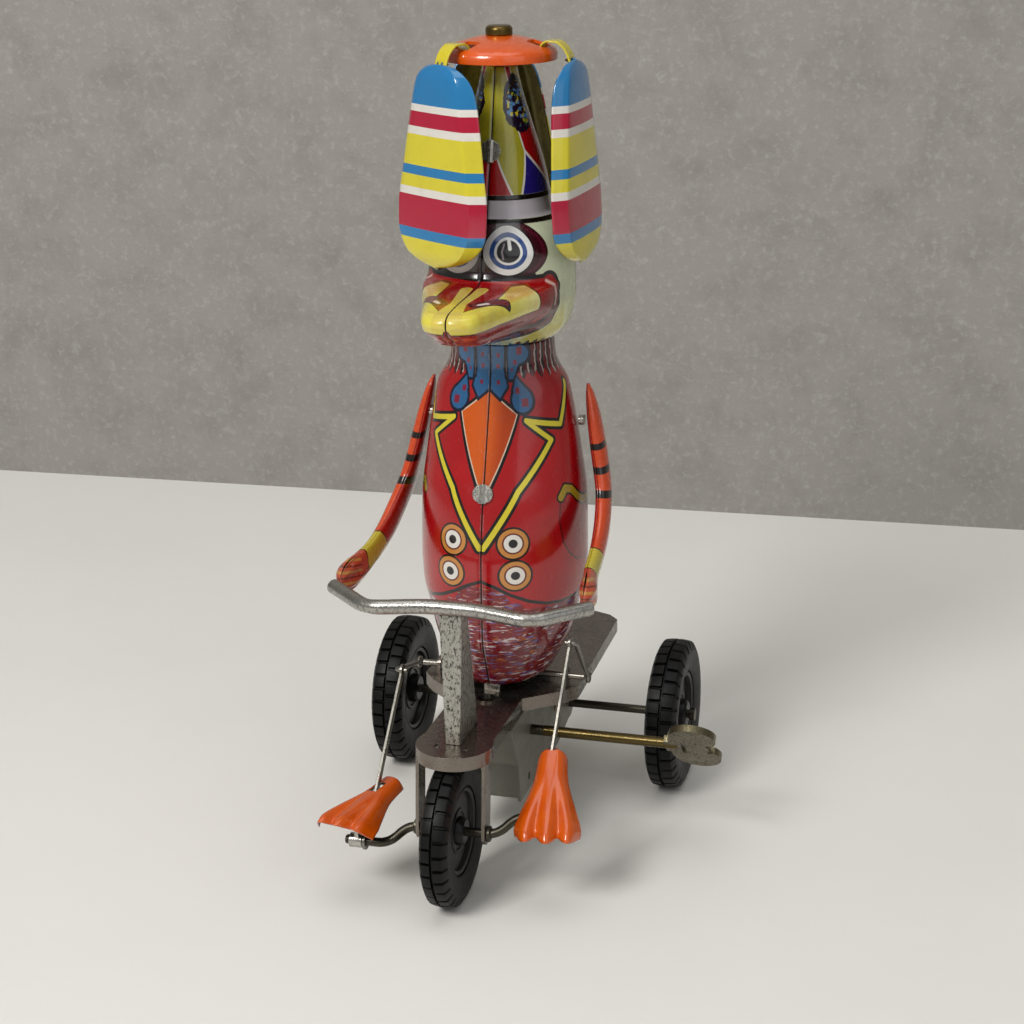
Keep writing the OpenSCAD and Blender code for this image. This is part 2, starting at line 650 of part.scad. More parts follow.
module gear(place, faces_x, teeth, bore, turn = 0)
    translate(at_x(0, place)) slab(faces_x[0], faces_x[1]) difference() {
        rotate(turn) polygon([for (i = [0:teeth-1]) for (corner = tooth)
            let(angle = (i + corner[1])*360/teeth)
            (pitch_r(teeth) + corner[0]*tooth_module)*[cos(angle), sin(angle)]]);
        circle(r = bore, $fn = small_fn);
    }

module axle_gear() color(brass)
    gear(rear_centre, train_x, axle_teeth, axle_r, axle_gear_turn);

module second_arbor() color(brass) {
    x_rod(second_at, -arbor_end, arbor_end, pivot_r);
    gear(second_at, [5.2, 7.0], pinion_teeth, 0.5, pinion_turn);
    gear(second_at, train_x, second_teeth, 0.5);
}

// Disc with teeth standing out sideways, under the spindle's pinion.
module contrate_wheel() color(brass) {
    difference() {
        x_rod(second_at, -4.2, -3.4, 7.8, 64);
        x_rod(second_at, -5, -3, pivot_r, small_fn);
    }
    for (i = [0:contrate_teeth-1])
        translate(at_x(0, second_at))
            rotate([(i + 0.5)*360/contrate_teeth, 0, 0])
                translate([-3.5, -0.3, 6.1])
                    cube([1.95, 0.6, 1.55]);
}

module idler_gear() color(brass) {
    x_rod(idler_at, -arbor_end, arbor_end, pivot_r);
    gear(idler_at, train_x, idler_teeth, 0.5, idler_turn);
}

module great_wheel() color(brass) gear(winding_at, [5.6, 6.6], great_teeth, winding_r);

// ---------- winding arbor and key ----------
arbor_tip_r = 0.9;  // thin left end of the arbor, inside the key's shaft
key_lobe_r = 5.8;
key_lobe_x = 50.4;

module winding_arbor() color([0.5, 0.45, 0.3]) {
    x_rod(winding_at, -9.4, 11.9, winding_r);
    x_rod(winding_at, 11.8, 16, arbor_tip_r);
    x_rod(winding_at, -0.9, 4, 2.1);
}

module key_shaft() color([0.42, 0.38, 0.25]) difference() {
    x_rod(winding_at, 11.95, 46, key_r);
    x_rod(winding_at, 10, 16.1, arbor_tip_r, small_fn);
}

module key_outline() difference() {
    union() {
        for (side = sides)
            translate([key_lobe_x, side*(key_span/2 - key_lobe_r)]) circle(r = key_lobe_r);
        translate([44.2, -key_span/2 + 6]) square([9.6, key_span - 12]);
        translate([43, -3.2]) square([9, 6.4]);
    }
    translate([47.6, 0]) square([1, 7.4], center = true);
    for (side = sides) translate([54.6, side*1.9]) square([2.6, 1], center = true);
}

module key_wing() color([0.45, 0.42, 0.33])
    translate(at_x(0, winding_at)) rotate([136, 0, 0]) difference() {
        translate([0, 0, -0.9]) linear_extrude(height = 1.8) key_outline();
        translate([40, 0, 0]) rotate([0, 90, 0]) cylinder(r = key_r, h = 6, $fn = small_fn);
    }

// ---------- spindle and hat ----------
spindle_bottom = 29;
spindle_top = 197.7;
// Turn of the front, side and rear paddles from straight ahead
hat_angles = [-33, 86, 200];
hinge_r = 12.7;  // spindle axis to the bar a strap hangs on
hinge_z = 194;

// Upright wire with an eight-leaved pinion near its foot.
module spindle() color([0.45, 0.44, 0.4]) {
    translate([0, figure_y, spindle_bottom])
        cylinder(r = spindle_r, h = spindle_top - spindle_bottom, $fn = small_fn);
    translate([0, figure_y, 29.9])
        linear_extrude(height = 2.5)
            for (i = [0:7])
                rotate(i*45 + 90)
                    polygon([[0, -0.62], [1.35, -0.42], [2.35, -0.18],
                        [2.35, 0.18], [1.35, 0.42], [0, 0.62]]);
}

// Section of the disc: [radius, z], under side outward, then the top back inward
disc_profile = [
    [1, 197.1], [3.4, 197.1], [6, 196.5], [9, 195.7], [11.4, 195.0], [12.5, 194.4],
    [disc_r - 0.6, 193.6], [disc_r - 0.6, 192.4], [disc_r, 192.4], [disc_r, 193.8],
    [disc_r - 0.5, 194.8], [11.7, 195.6], [9.1, 196.4], [6.1, 197.2], [3.5, 197.78],
    [1, 197.78]];

module hat_disc() color([0.88, 0.35, 0.14]) translate([0, figure_y, 0]) {
    // rolled bar at the outer edge of each slot, on which a paddle's strap hangs
    for (angle = hat_angles)
        rotate(angle)
            translate([-2.5, -hinge_r, hinge_z])
                rotate([0, 90, 0])
                    cylinder(r = 0.6, h = 5, $fn = small_fn);
    difference() {
        rotate_extrude($fn = 96) polygon(disc_profile);
        for (angle = hat_angles)
            rotate(angle) translate([-2.4, -11.8, 190]) cube([4.8, 4.3, 10]);
    }
}

module hat_knob() color([0.5, 0.42, 0.24]) translate([0, figure_y, 0])
    rotate_extrude($fn = 64)
        polygon([[0, 197.8], [3.15, 197.8], [3.15, 199.4], [2.6, 200], [0, 200]]);

module at_hat(i) translate([0, figure_y, 0]) rotate([0, 0, hat_angles[i]]) children();

// Share of a paddle's length, from the tip 1 to the hanging end 0
paddle_stations = [1, 0.985, 0.96, 0.92, 0.87, 0.8, 0.7, 0.6, 0.5, 0.4, 0.3, 0.22,
    0.14, 0.08, 0.04, 0.015, 0];
// [share of length, half width of the middle panel when paddle_w is 12]
panel_half = [[0, 2.4], [0.015, 3.7], [0.04, 5.0], [0.08, 6.3], [0.14, 7.4], [0.22, 8.3],
    [0.3, 9.0], [0.5, 10.6], [0.7, 12], [0.8, 11.9], [0.87, 10.8], [0.92, 9.3],
    [0.96, 7], [0.985, 4.4], [1, 2.4]];
// [share of length, width of a side wing]
wing_width = [[0, 0.5], [0.04, 2.1], [0.08, 3.1], [0.14, 3.8], [0.25, 4.2],
    [0.85, 4.2], [0.92, 3.3], [0.96, 2.3], [1, 0.5]];
paddle_tilt = 3;  // outward from hanging straight down
paddle_top_r = 19.65;
paddle_top_z = 192.6;

// Column runs -3 to 3 across the paddle; the outermost columns are the wing edges.
function paddle_point(f, column) =
    let(half = lookup(f, panel_half)*paddle_w/12, wing = lookup(f, wing_width),
        step = abs(column), at_edge = step == 3,
        across = at_edge ? half + wing*cos(wing_a) : half*step/2,
        bend = at_edge ? wing*sin(wing_a) + 0.5 : 0.5*step*step/4,
        curl = f < 0.08 ? pow((0.08 - f)/0.08, 2)*0.9
            : f > 0.92 ? pow((f - 0.92)/0.08, 2)*1.1 : 0,
        inward = bend + curl, down = f*paddle_l)
    [sign(column)*across,
        -(paddle_top_r + down*sin(paddle_tilt) - inward*cos(paddle_tilt)),
        paddle_top_z - down*cos(paddle_tilt) + inward*sin(paddle_tilt)];

module paddle(i) at_hat(i)
    sheet_grid([for (f = paddle_stations) [for (c = [-3:3]) paddle_point(f, c)]], tin);

// Middle line of a strap: [distance from the spindle axis, z]
strap_path = [[10.3, 193.0], [10.35, 194.6], [11.1, 196.1], [12.7, 196.85], [14.5, 196.6],
    [16.1, 195.5], [17.1, 193.9], [17.45, 192.9], [17.6, 192.3], [18.0, 191.7],
    [18.5, 190.7], [18.8, 189.9]];
strap_half = 0.22;  // half thickness
strap_width = 4;

// Path moved sideways by a distance.
function shifted(path, distance) = [for (i = [0:len(path)-1])
    let(dir = unit(path[min(len(path) - 1, i + 1)] - path[max(0, i - 1)]))
    path[i] + distance*[-dir[1], dir[0]]];

module strap(i) at_hat(i)
    rotate([90, 0, -90])
        translate([0, 0, -strap_width/2])
            linear_extrude(height = strap_width)
                polygon(concat(shifted(strap_path, strap_half),
                    reversed(shifted(strap_path, -strap_half))));

module paddle_front() color(paddle_yellow) paddle(0);
module paddle_side() color(paddle_yellow) paddle(1);
module paddle_rear() color(paddle_yellow) paddle(2);
module strap_front() color(paddle_yellow) strap(0);
module strap_side() color(paddle_yellow) strap(1);
module strap_rear() color(paddle_yellow) strap(2);

frame_plate();
steering_column();
handlebar();
motor_plate_left();
motor_plate_right();
motor_cover();
motor_pillars();
mainspring();
hip_pin();
body_shell_left();
body_shell_right();
body_seam_clip();
body_tabs();
head_shell_left();
head_shell_right();
hat_seam_clip();
arm_left_outer();
arm_left_inner();
arm_right_outer();
arm_right_inner();
shoulder_rivet_left();
shoulder_rivet_right();
spindle_bush_lower();
spindle_bush_upper();
front_tyre();
front_hub();
crank_axle();
foot_left();
shank_left();
pedal_clip_left();
foot_right();
shank_right();
pedal_clip_right();
thigh_left();
thigh_right();
rear_axle();
rear_tyre_left();
rear_tyre_right();
rear_hub_left();
rear_hub_right();
axle_gear();
second_arbor();
contrate_wheel();
idler_gear();
winding_arbor();
great_wheel();
key_shaft();
key_wing();
spindle();
hat_disc();
hat_knob();
paddle_front();
paddle_side();
paddle_rear();
strap_front();
strap_side();
strap_rear();
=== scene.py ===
# A clockwork tinplate duck that pedals a tricycle under a spinning hat disc hung with three
# paddles. It faces -Y with its left side at +X. The floor is z = 0 and the rear axle is at y = 0.
# Lengths are millimetres, turned into metres by MM; the stage and camera are in metres.
import math
import bmesh
import bpy
import numpy as np
from mathutils import Matrix, Vector


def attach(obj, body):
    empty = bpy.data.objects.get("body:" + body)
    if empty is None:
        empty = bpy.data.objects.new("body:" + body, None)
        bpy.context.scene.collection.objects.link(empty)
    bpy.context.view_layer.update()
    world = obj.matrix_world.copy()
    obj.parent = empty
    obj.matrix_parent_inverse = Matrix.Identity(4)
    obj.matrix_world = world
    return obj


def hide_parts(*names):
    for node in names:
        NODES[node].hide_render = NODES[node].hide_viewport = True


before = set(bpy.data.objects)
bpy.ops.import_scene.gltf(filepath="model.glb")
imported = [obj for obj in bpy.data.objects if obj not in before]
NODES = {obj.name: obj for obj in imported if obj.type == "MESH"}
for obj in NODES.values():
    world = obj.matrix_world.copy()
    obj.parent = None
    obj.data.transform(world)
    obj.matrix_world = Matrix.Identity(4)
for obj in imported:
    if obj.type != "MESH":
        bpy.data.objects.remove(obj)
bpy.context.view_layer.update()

MM = 0.001
AXIS_Y = -29.5              # upright axis of the figure and the hat
SIDES = (("left", 1), ("right", -1))

TOY_TONE = (0.86, 1.16)     # gain and power that deepen the toy's colours
PLAIN_TONE = (1.0, 1.0)
BLACK = (22, 12, 16)
WHITE = (226, 222, 216)
MATERIALS = {}              # finished materials by name


# ---------------------------------------------------------------- node arithmetic
def math_node(tree, operation, *values, clamp=False):
    node = tree.nodes.new("ShaderNodeMath")
    node.operation = operation
    node.use_clamp = clamp
    for socket, value in zip(node.inputs, values):
        if isinstance(value, Expr):
            tree.links.new(value.socket, socket)
        else:
            socket.default_value = value
    return Expr(tree, node.outputs[0])


class Expr:
    """A shader value; arithmetic on it adds Math nodes."""
    def __init__(self, tree, socket):
        self.tree, self.socket = tree, socket

    def apply(self, operation, *values, **options):
        return math_node(self.tree, operation, self, *values, **options)

    def __add__(self, other):
        return self.apply("ADD", other)
    __radd__ = __add__

    def __sub__(self, other):
        return self.apply("SUBTRACT", other)

    def __rsub__(self, other):
        return math_node(self.tree, "SUBTRACT", other, self)

    def __mul__(self, other):
        return self.apply("MULTIPLY", other)

    def __truediv__(self, other):
        return self.apply("DIVIDE", other)

    def __neg__(self):
        return self * -1.0

    def abs(self):
        return self.apply("ABSOLUTE")

    def sin(self):
        return self.apply("SINE")

    def clamped(self):
        return self.apply("ADD", 0.0, clamp=True)

    def above(self, level, gain):
        """0 up to a level, then rising to 1 at the given gain."""
        return ((self - level) * gain).clamped()

    def below(self, level, gain):
        return ((level - self) * gain).clamped()

    def band(self, centre, half_width):
        """Signed distance to a band of values round a centre."""
        return (self - centre).abs() - half_width


def union(first, *others):
    for other in others:
        first = first.apply("MINIMUM", other)
    return first


def overlap(first, other):
    return first.apply("MAXIMUM", other)


def hypot(first, second):
    return (first * first + second * second).apply("SQRT")


def fill(distance, soft=0.09):
    """1 where a signed distance is negative, with an edge of the given softness."""
    return distance.apply("MULTIPLY_ADD", -1.0 / soft, 0.5, clamp=True)


class Chart:
    """Two coordinates of a sheet. Each shape is a signed distance, negative inside."""
    def __init__(self, across, up):
        self.across, self.up = across, up

    def circle(self, centre, radius):
        return hypot(self.across - centre[0], self.up - centre[1]) - radius

    def ellipse(self, centre, radii):
        ratio = hypot((self.across - centre[0]) / radii[0], (self.up - centre[1]) / radii[1])
        return (ratio - 1.0) * min(radii)

    def polygon(self, points):
        """Convex polygon, wound either way."""
        mid_x = sum(p[0] for p in points) / len(points)
        mid_y = sum(p[1] for p in points) / len(points)
        shape = None
        for (x0, y0), (x1, y1) in zip(points, points[1:] + points[:1]):
            out_x, out_y = y1 - y0, x0 - x1
            length = math.hypot(out_x, out_y)
            out_x, out_y = out_x / length, out_y / length
            if (mid_x - x0) * out_x + (mid_y - y0) * out_y > 0:
                out_x, out_y = -out_x, -out_y
            edge = self.across * out_x + self.up * out_y - (x0 * out_x + y0 * out_y)
            shape = edge if shape is None else overlap(shape, edge)
        return shape

    def stroke(self, start, end, radius, end_radius=None):
        dx, dy = end[0] - start[0], end[1] - start[1]
        squared = dx * dx + dy * dy
        along = ((self.across - start[0]) * (dx / squared)
                 + (self.up - start[1]) * (dy / squared)).clamped()
        shape = hypot(self.across - start[0] - along * dx, self.up - start[1] - along * dy) - radius
        return shape if end_radius is None else shape - along * (end_radius - radius)

    def line(self, points, radius):
        return union(*[self.stroke(a, b, radius) for a, b in zip(points, points[1:])])


class Paint:
    """A Principled material built up in layers. Colours are sRGB, 0 to 255."""
    def __init__(self, name, color, rough, metal=0.0, coat=0.0, spec=0.5, tone=TOY_TONE):
        self.name, self.rough, self.tone = name, rough, tone
        self.material = bpy.data.materials.new(name)
        self.material.use_nodes = True
        self.tree = self.material.node_tree
        self.shader = self.tree.nodes["Principled BSDF"]
        for key, value in (("Metallic", metal), ("Coat Weight", coat),
                           ("Coat Roughness", 0.08), ("Specular IOR Level", spec)):
            self.shader.inputs[key].default_value = value
        texture = self.tree.nodes.new("ShaderNodeTexCoord")
        scale = self.tree.nodes.new("ShaderNodeVectorMath")
        scale.operation = "SCALE"
        scale.inputs[3].default_value = 1000.0      # metres to millimetres
        self.link(texture.outputs["Object"], scale.inputs[0])
        self.position = scale.outputs[0]
        self.color = None
        if color:
            node = self.tree.nodes.new("ShaderNodeRGB")
            node.outputs[0].default_value = self.linear(color)
            self.color = node.outputs[0]
        self.rough_shift = None
        self.bumps = []

    def link(self, source, target):
        self.tree.links.new(source, target)

    def linear(self, color):
        gain, power = self.tone
        parts = [c / 255 for c in color]
        parts = [c / 12.92 if c <= 0.04045 else ((c + 0.055) / 1.055) ** 2.4 for c in parts]
        return tuple(gain * c ** power for c in parts) + (1.0,)

    def xyz(self):
        node = self.tree.nodes.new("ShaderNodeSeparateXYZ")
        self.link(self.position, node.inputs[0])
        return [Expr(self.tree, node.outputs[i]) for i in range(3)]

    def noise(self, scale, detail=3.0, rough=0.5, stretch=None, seed=0.0):
        node = self.tree.nodes.new("ShaderNodeTexNoise")
        node.inputs["Scale"].default_value = scale
        node.inputs["Detail"].default_value = detail
        node.inputs["Roughness"].default_value = rough
        vector = self.position
        if stretch or seed:
            mapping = self.tree.nodes.new("ShaderNodeMapping")
            self.link(vector, mapping.inputs[0])
            mapping.inputs[3].default_value = stretch or (1, 1, 1)
            mapping.inputs[1].default_value = (seed, seed * 0.7, -seed)
            vector = mapping.outputs[0]
        self.link(vector, node.inputs["Vector"])
        return Expr(self.tree, node.outputs[0])

    def lay(self, color, factor):
        """Cover what is there with a colour, by a factor from 0 to 1."""
        node = self.tree.nodes.new("ShaderNodeMix")
        node.data_type = "RGBA"
        self.link(factor.socket, node.inputs[0])
        self.link(self.color, node.inputs[6])
        node.inputs[7].default_value = self.linear(color)
        self.color = node.outputs[2]

    def ink(self, color, shape, soft=0.09, within=None, fade=None, amount=None):
        """Lay a shape, kept within a mask and scaled by a fade and an amount."""
        self.lay_scaled(color, fill(shape, soft), within, fade, amount)

    def mottle(self, color, level, gain, within=None, amount=None, **pattern):
        """Lay patches of noise above a level."""
        self.lay_scaled(color, self.noise(**pattern).above(level, gain), within, None, amount)

    def lay_scaled(self, color, factor, within, fade, amount):
        if within is not None:
            factor = within * factor
        for scale in (fade, amount):
            if scale is not None:
                factor = factor * scale
        self.lay(color, factor)

    def bump(self, height, strength, depth):
        self.bumps.append((height, strength, depth))

    def wear(self, amount, dirt=(60, 45, 35)):
        """Grime, fine specks, and uneven gloss over a printed or painted sheet."""
        grime = self.noise(0.35, detail=5.0, rough=0.65)
        self.lay(dirt, grime.above(0.56, 4.0) * (0.16 * amount))
        self.mottle(dirt, scale=3.2, detail=4.0, rough=0.7, seed=7.0,
                    level=0.66, gain=9.0, amount=0.42 * amount)
        streaks = self.noise(1.4, detail=5.0, rough=0.6, stretch=(1, 1, 0.25), seed=3.0)
        self.rough_shift = (grime - 0.5) * 0.22 + (streaks - 0.5) * 0.16
        self.bump(self.noise(0.12, detail=2.0), strength=0.10, depth=0.6)
        self.bump(self.noise(2.4, detail=4.0, rough=0.6, seed=2.0), strength=0.05, depth=0.05)

    def finish(self):
        inputs = self.shader.inputs
        self.link(self.color, inputs["Base Color"])
        if self.rough_shift is None:
            inputs["Roughness"].default_value = self.rough
        else:
            self.link((self.rough_shift + self.rough).clamped().socket, inputs["Roughness"])
        normal = None
        for height, strength, depth in self.bumps:
            node = self.tree.nodes.new("ShaderNodeBump")
            node.inputs["Strength"].default_value = strength
            node.inputs["Distance"].default_value = depth * MM
            self.link(height.socket, node.inputs["Height"])
            if normal:
                self.link(normal, node.inputs["Normal"])
            normal = node.outputs[0]
        if normal:
            self.link(normal, inputs["Normal"])
            self.link(normal, inputs["Coat Normal"])
        MATERIALS[self.name] = self.material


# ---------------------------------------------------------------- bare metals, rubber, lacquer
def metal_paint(name, color, rough, metal, stains, pits=0.0, dark=(70, 62, 52)):
    mat = Paint(name, color, rough, metal)
    broad = mat.noise(0.22, detail=5.0, rough=0.6)
    fine = mat.noise(1.3, detail=6.0, rough=0.7, seed=4.0)
    mat.lay(dark, broad.above(0.5, 3.0) * (0.35 * stains))
    mat.lay(dark, fine.above(0.6, 8.0) * (0.7 * stains))
    mat.mottle((225, 222, 215), scale=5.5, rough=0.6, seed=11.0, level=0.62, gain=9.0, amount=0.25)
    mat.rough_shift = (broad - 0.5) * 0.35 + (fine - 0.5) * 0.3
    mat.bump(mat.noise(0.5, detail=4.0, rough=0.6, seed=5.0), strength=0.12, depth=0.25)
    mat.bump(fine, strength=0.10, depth=0.08)
    if pits:
        grain = mat.noise(1.5, detail=6.0, rough=0.8, stretch=(1, 1, 0.5), seed=8.0)
        pitted = grain.above(0.505, 11.0)
        mat.lay((48, 42, 36), pitted * 0.8 * pits)
        mat.rough_shift = mat.rough_shift + pitted * 0.35
        mat.bump(grain, strength=0.5 * pits, depth=0.18)
    mat.finish()


# name, colour, roughness, metallic, stains, then where needed pits and stain colour
METALS = [
    ("plate_steel", (146, 138, 130), 0.26, 0.95, 0.7),
    ("post_steel", (188, 186, 178), 0.32, 0.8, 0.5, 1.25),
    ("bar_steel", (190, 188, 183), 0.22, 0.95, 0.45, 0.55),
    ("motor_steel", (166, 164, 154), 0.46, 0.85, 0.5),
    ("clip_steel", (206, 204, 198), 0.24, 0.9, 0.5, 0.3),
    ("leg_steel", (160, 157, 150), 0.33, 0.95, 0.5),
    ("axle_steel", (92, 88, 78), 0.36, 0.9, 0.6),
    ("brass", (150, 122, 62), 0.36, 0.95, 0.6, 0.0, (70, 50, 25)),
    ("knob_brass", (128, 108, 62), 0.3, 0.95, 0.8, 0.0, (60, 46, 25)),
    ("key_shaft_brass", (112, 98, 62), 0.3, 0.9, 0.6, 0.0, (54, 44, 24)),
    ("key_plate", (128, 121, 98), 0.34, 0.9, 0.7, 0.4, (70, 58, 34)),
    ("spring_steel", (52, 56, 68), 0.32, 0.95, 0.4),
    ("foot_underside", (96, 88, 76), 0.6, 0.6, 1.0),
]
for row in METALS:
    metal_paint(*row)


def tyre_paint():
    mat = Paint("tyre", (9, 10, 10), rough=0.46, spec=0.22)
    broad = mat.noise(0.5, detail=5.0, rough=0.65)
    fine = mat.noise(4.0, detail=4.0, rough=0.7, seed=3.0)
    mat.lay((74, 72, 68), broad.above(0.58, 4.0) * 0.16)
    mat.lay((105, 102, 96), fine.above(0.70, 9.0) * 0.3)
    mat.rough_shift = (broad - 0.5) * 0.3
    mat.bump(fine, strength=0.14, depth=0.06)
    mat.bump(broad, strength=0.1, depth=0.2)
    mat.finish()


def hub_paint():
    mat = Paint("hub", (10, 10, 11), rough=0.34, spec=0.28)
    dust = mat.noise(0.9, detail=5.0, rough=0.6, seed=6.0)
    mat.lay((80, 78, 72), dust.above(0.6, 6.0) * 0.3)
    mat.rough_shift = (dust - 0.5) * 0.3
    mat.bump(mat.noise(3.0, rough=0.6), strength=0.08, depth=0.05)
    mat.finish()


def lacquer_paint(name, color, shade):
    mat = Paint(name, color, rough=0.28, coat=0.7)
    mat.mottle(shade, scale=0.16, seed=2.0, level=0.42, gain=2.6, amount=0.55)
    mat.wear(0.7)
    mat.finish()


def inside_paint():
    mat = Paint("inside_lacquer", (118, 108, 46), rough=0.3, metal=0.55, coat=0.3)
    mat.mottle((66, 58, 26), scale=0.25, detail=4.0, rough=0.6, seed=9.0,
               level=0.42, gain=3.0, amount=0.7)
    mat.wear(1.0)
    mat.finish()


def foot_paint():
    mat = Paint("foot_orange", (222, 104, 6), rough=0.22, coat=0.6)
    mat.mottle((200, 76, 4), scale=0.2, level=0.45, gain=3.0, amount=0.45)
    mat.wear(0.8, dirt=(70, 26, 8))
    mat.finish()


tyre_paint()
hub_paint()
lacquer_paint("disc_orange", (230, 104, 22), shade=(214, 84, 14))
lacquer_paint("strap_yellow", (226, 212, 60), shade=(214, 190, 44))
inside_paint()
foot_paint()


# ---------------------------------------------------------------- printed sheets
# Charts of the jacket and head use the arc from the front middle, 20 mm per radian and the
# same on both sides, and the height z.
def arc_around_axis(x, y):
    signed_arc = x.apply("ARCTAN2", -(y - AXIS_Y)) * 20.0
    return signed_arc.abs(), signed_arc


POCKET = [(19.8, 89.3), (19.3, 84), (20.2, 79), (22.4, 75.5), (25.5, 73.2), (31, 72.2),
          (36, 73.6), (38.5, 77), (39.2, 86)]
POCKET_TRIM = [(20.2, 90.0), (22.0, 91.9), (24.2, 91.2), (26.4, 89.0), (29.0, 87.4), (34, 86.8),
               (38.6, 88.6)]
HEM = [(0.3, 71.0), (3, 69.9), (6.5, 67.8), (10.5, 65.9), (15, 64.5), (20, 63.8), (26, 63.8),
       (34, 66.5), (44, 67.6), (64, 67.6)]
# arc, height, half width
BOW_SPOTS = [(3.4, 124.4, 0.62), (3.3, 121.7, 0.62), (3.5, 117.9, 0.6), (12.0, 125.4, 1.1),
             (10.3, 122.6, 0.7), (10.6, 116.0, 0.8), (12.9, 113.2, 1.1), (9.0, 120.8, 0.4)]


def jacket_front(mat, chart, arc, signed_arc, z):
    """Pocket, lapels, shirt front and buttons."""
    mat.ink(BLACK, union(chart.line(POCKET, 0.22), 9.0), soft=0.12)
    mat.ink((150, 8, 26), chart.polygon(POCKET), soft=0.3, amount=0.6)
    trim = chart.line(POCKET_TRIM, 1.05)
    mat.ink(BLACK, trim - 0.35)
    mat.ink((176, 152, 42), trim + 0.15)
    lapel = union(chart.line([(0.4, 79.2), (8.8, 92.8), (19.7, 104.0), (12.6, 109.0)], 0.62),
                  chart.line([(12.6, 109.0), (23.6, 107.2), (29.5, 116.5)], 0.62))
    mat.ink(BLACK, lapel - 0.75)
    mat.ink((222, 208, 66), lapel, soft=0.12)
    shirt = chart.polygon([(0, 116.3), (10.0, 110.6), (1.6, 94.0), (-1.6, 94.0), (-10.0, 110.6)])
    mat.ink(BLACK, shirt - 0.95)
    mat.ink((220, 200, 180), shirt - 0.12, soft=0.1)
    mat.ink((216, 104, 18), shirt + 0.22, soft=0.1)
    mat.ink((176, 66, 10), shirt + 0.22, soft=0.1, amount=0.8,
            fade=(signed_arc * 0.22 + (103.0 - z) * 0.03).clamped())
    for button_arc, button_z in ((7.2, 80.6), (7.6, 72.7)):
        button = hypot((arc - button_arc) * 1.02, z - button_z)
        mat.ink(BLACK, button - 4.05)
        mat.ink((206, 146, 74), button - 3.55)
        mat.ink((110, 40, 30), button.band(2.35, 0.2), soft=0.1)
        mat.ink((232, 228, 222), button - 2.15)
        mat.ink((18, 16, 20), button - 1.05)


def jacket_feathers(mat, chart, arc, z):
    """Feathered skirt below the hem, and feathers at the neck."""
    hem = chart.line(HEM, 0.42)
    skirt = fill(z - 63.6 - arc.below(10.0, 0.7) * 2.0 - arc.below(6.5, 0.5) * 4.2, 0.6)
    mat.lay((138, 8, 26), skirt)
    mat.mottle((84, 14, 30), scale=0.8, detail=2.0, rough=0.6, stretch=(0.42, 0.42, 2.2), seed=47.0,
               level=0.56, gain=16.0, within=skirt, amount=0.8)
    mat.mottle((104, 112, 176), scale=0.7, rough=0.6, stretch=(0.40, 0.40, 2.4), seed=15.0,
               level=0.585, gain=20.0, within=skirt, amount=0.85)
    mat.mottle((196, 120, 60), scale=0.7, rough=0.6, stretch=(0.40, 0.40, 2.4), seed=31.0,
               level=0.60, gain=18.0, within=skirt, amount=0.8)
    dashes = mat.noise(0.62, rough=0.62, stretch=(0.42, 0.42, 2.3), seed=5.0)
    mat.lay((218, 212, 214), skirt * dashes.above(0.57, 18.0) * 0.85 * z.below(70.0, 0.22))
    mat.ink(BLACK, hem, soft=0.12)

    wobble = mat.noise(0.6, detail=2.0, seed=3.0) - 0.5
    neck = fill(119.4 - z + (arc * 1.75).sin() * 0.8 + wobble * 2.4, 0.3)
    mat.lay((30, 6, 10), neck)
    pale = (arc * 2.1 + wobble * 5.0).sin()
    mat.lay((196, 178, 172), neck * pale.above(0.72, 6.0) * 0.9)
    dark = (arc * 2.1 + 2.4 + wobble * 5.0).sin()
    mat.lay((120, 12, 24), neck * dark.above(0.3, 4.0) * 0.9)


def bow_tie(mat, chart, arc, z):
    knot = union(chart.polygon([(0.3, 128), (6.0, 128), (5.6, 119.6), (0.3, 119.6)]),
                 chart.polygon([(0.3, 120.6), (5.7, 120.6), (7.0, 117.0), (4.2, 114.2),
                                (0.3, 116.4)]))
    wing = union(chart.ellipse((11.6, 124.6), (4.4, 2.4)),
                 chart.polygon([(7.4, 128), (14.5, 126), (9.4, 118.6), (7.6, 118.6)]))
    tail = union(chart.ellipse((12.0, 113.8), (3.5, 2.9)),
                 chart.polygon([(9.0, 116.0), (10.4, 119.2), (14.0, 116.2), (12.0, 113.0)]))
    bow = union(knot, wing, tail)
    mat.ink((16, 12, 48), bow - 0.72)
    mat.ink((52, 108, 154), bow + 0.06, soft=0.12)
    mat.ink((16, 12, 48), arc.band(6.35, 0.4), soft=0.1, fade=fill(118.8 - z, 0.2))
    spots = [overlap(arc.band(spot_arc, half), z.band(spot_z, half * 0.85))
             for spot_arc, spot_z, half in BOW_SPOTS]
    mat.ink((140, 26, 60), union(*spots), soft=0.25)


def jacket_paint():
    mat = Paint("jacket_print", (178, 8, 24), rough=0.24, coat=0.55)
    x, y, z = mat.xyz()
    arc, signed_arc = arc_around_axis(x, y)
    chart = Chart(arc, z)
    mat.lay((126, 6, 24), arc.above(20.0, 0.05) * 0.45)     # darker toward the sides
    mat.mottle((214, 22, 36), scale=0.09, detail=2.0, level=0.5, gain=4.0, amount=0.25)
    jacket_front(mat, chart, arc, signed_arc, z)
    jacket_feathers(mat, chart, arc, z)
    bow_tie(mat, chart, arc, z)
    # crimped seam
    mat.ink((30, 20, 22), x.abs() - 0.17, soft=0.12)
    mat.ink((170, 160, 152), x.abs().band(0.34, 0.07), soft=0.08, amount=0.6,
            fade=mat.noise(0.5, rough=0.6, seed=21.0).above(0.45, 6.0))
    mat.wear(0.8)
    mat.finish()


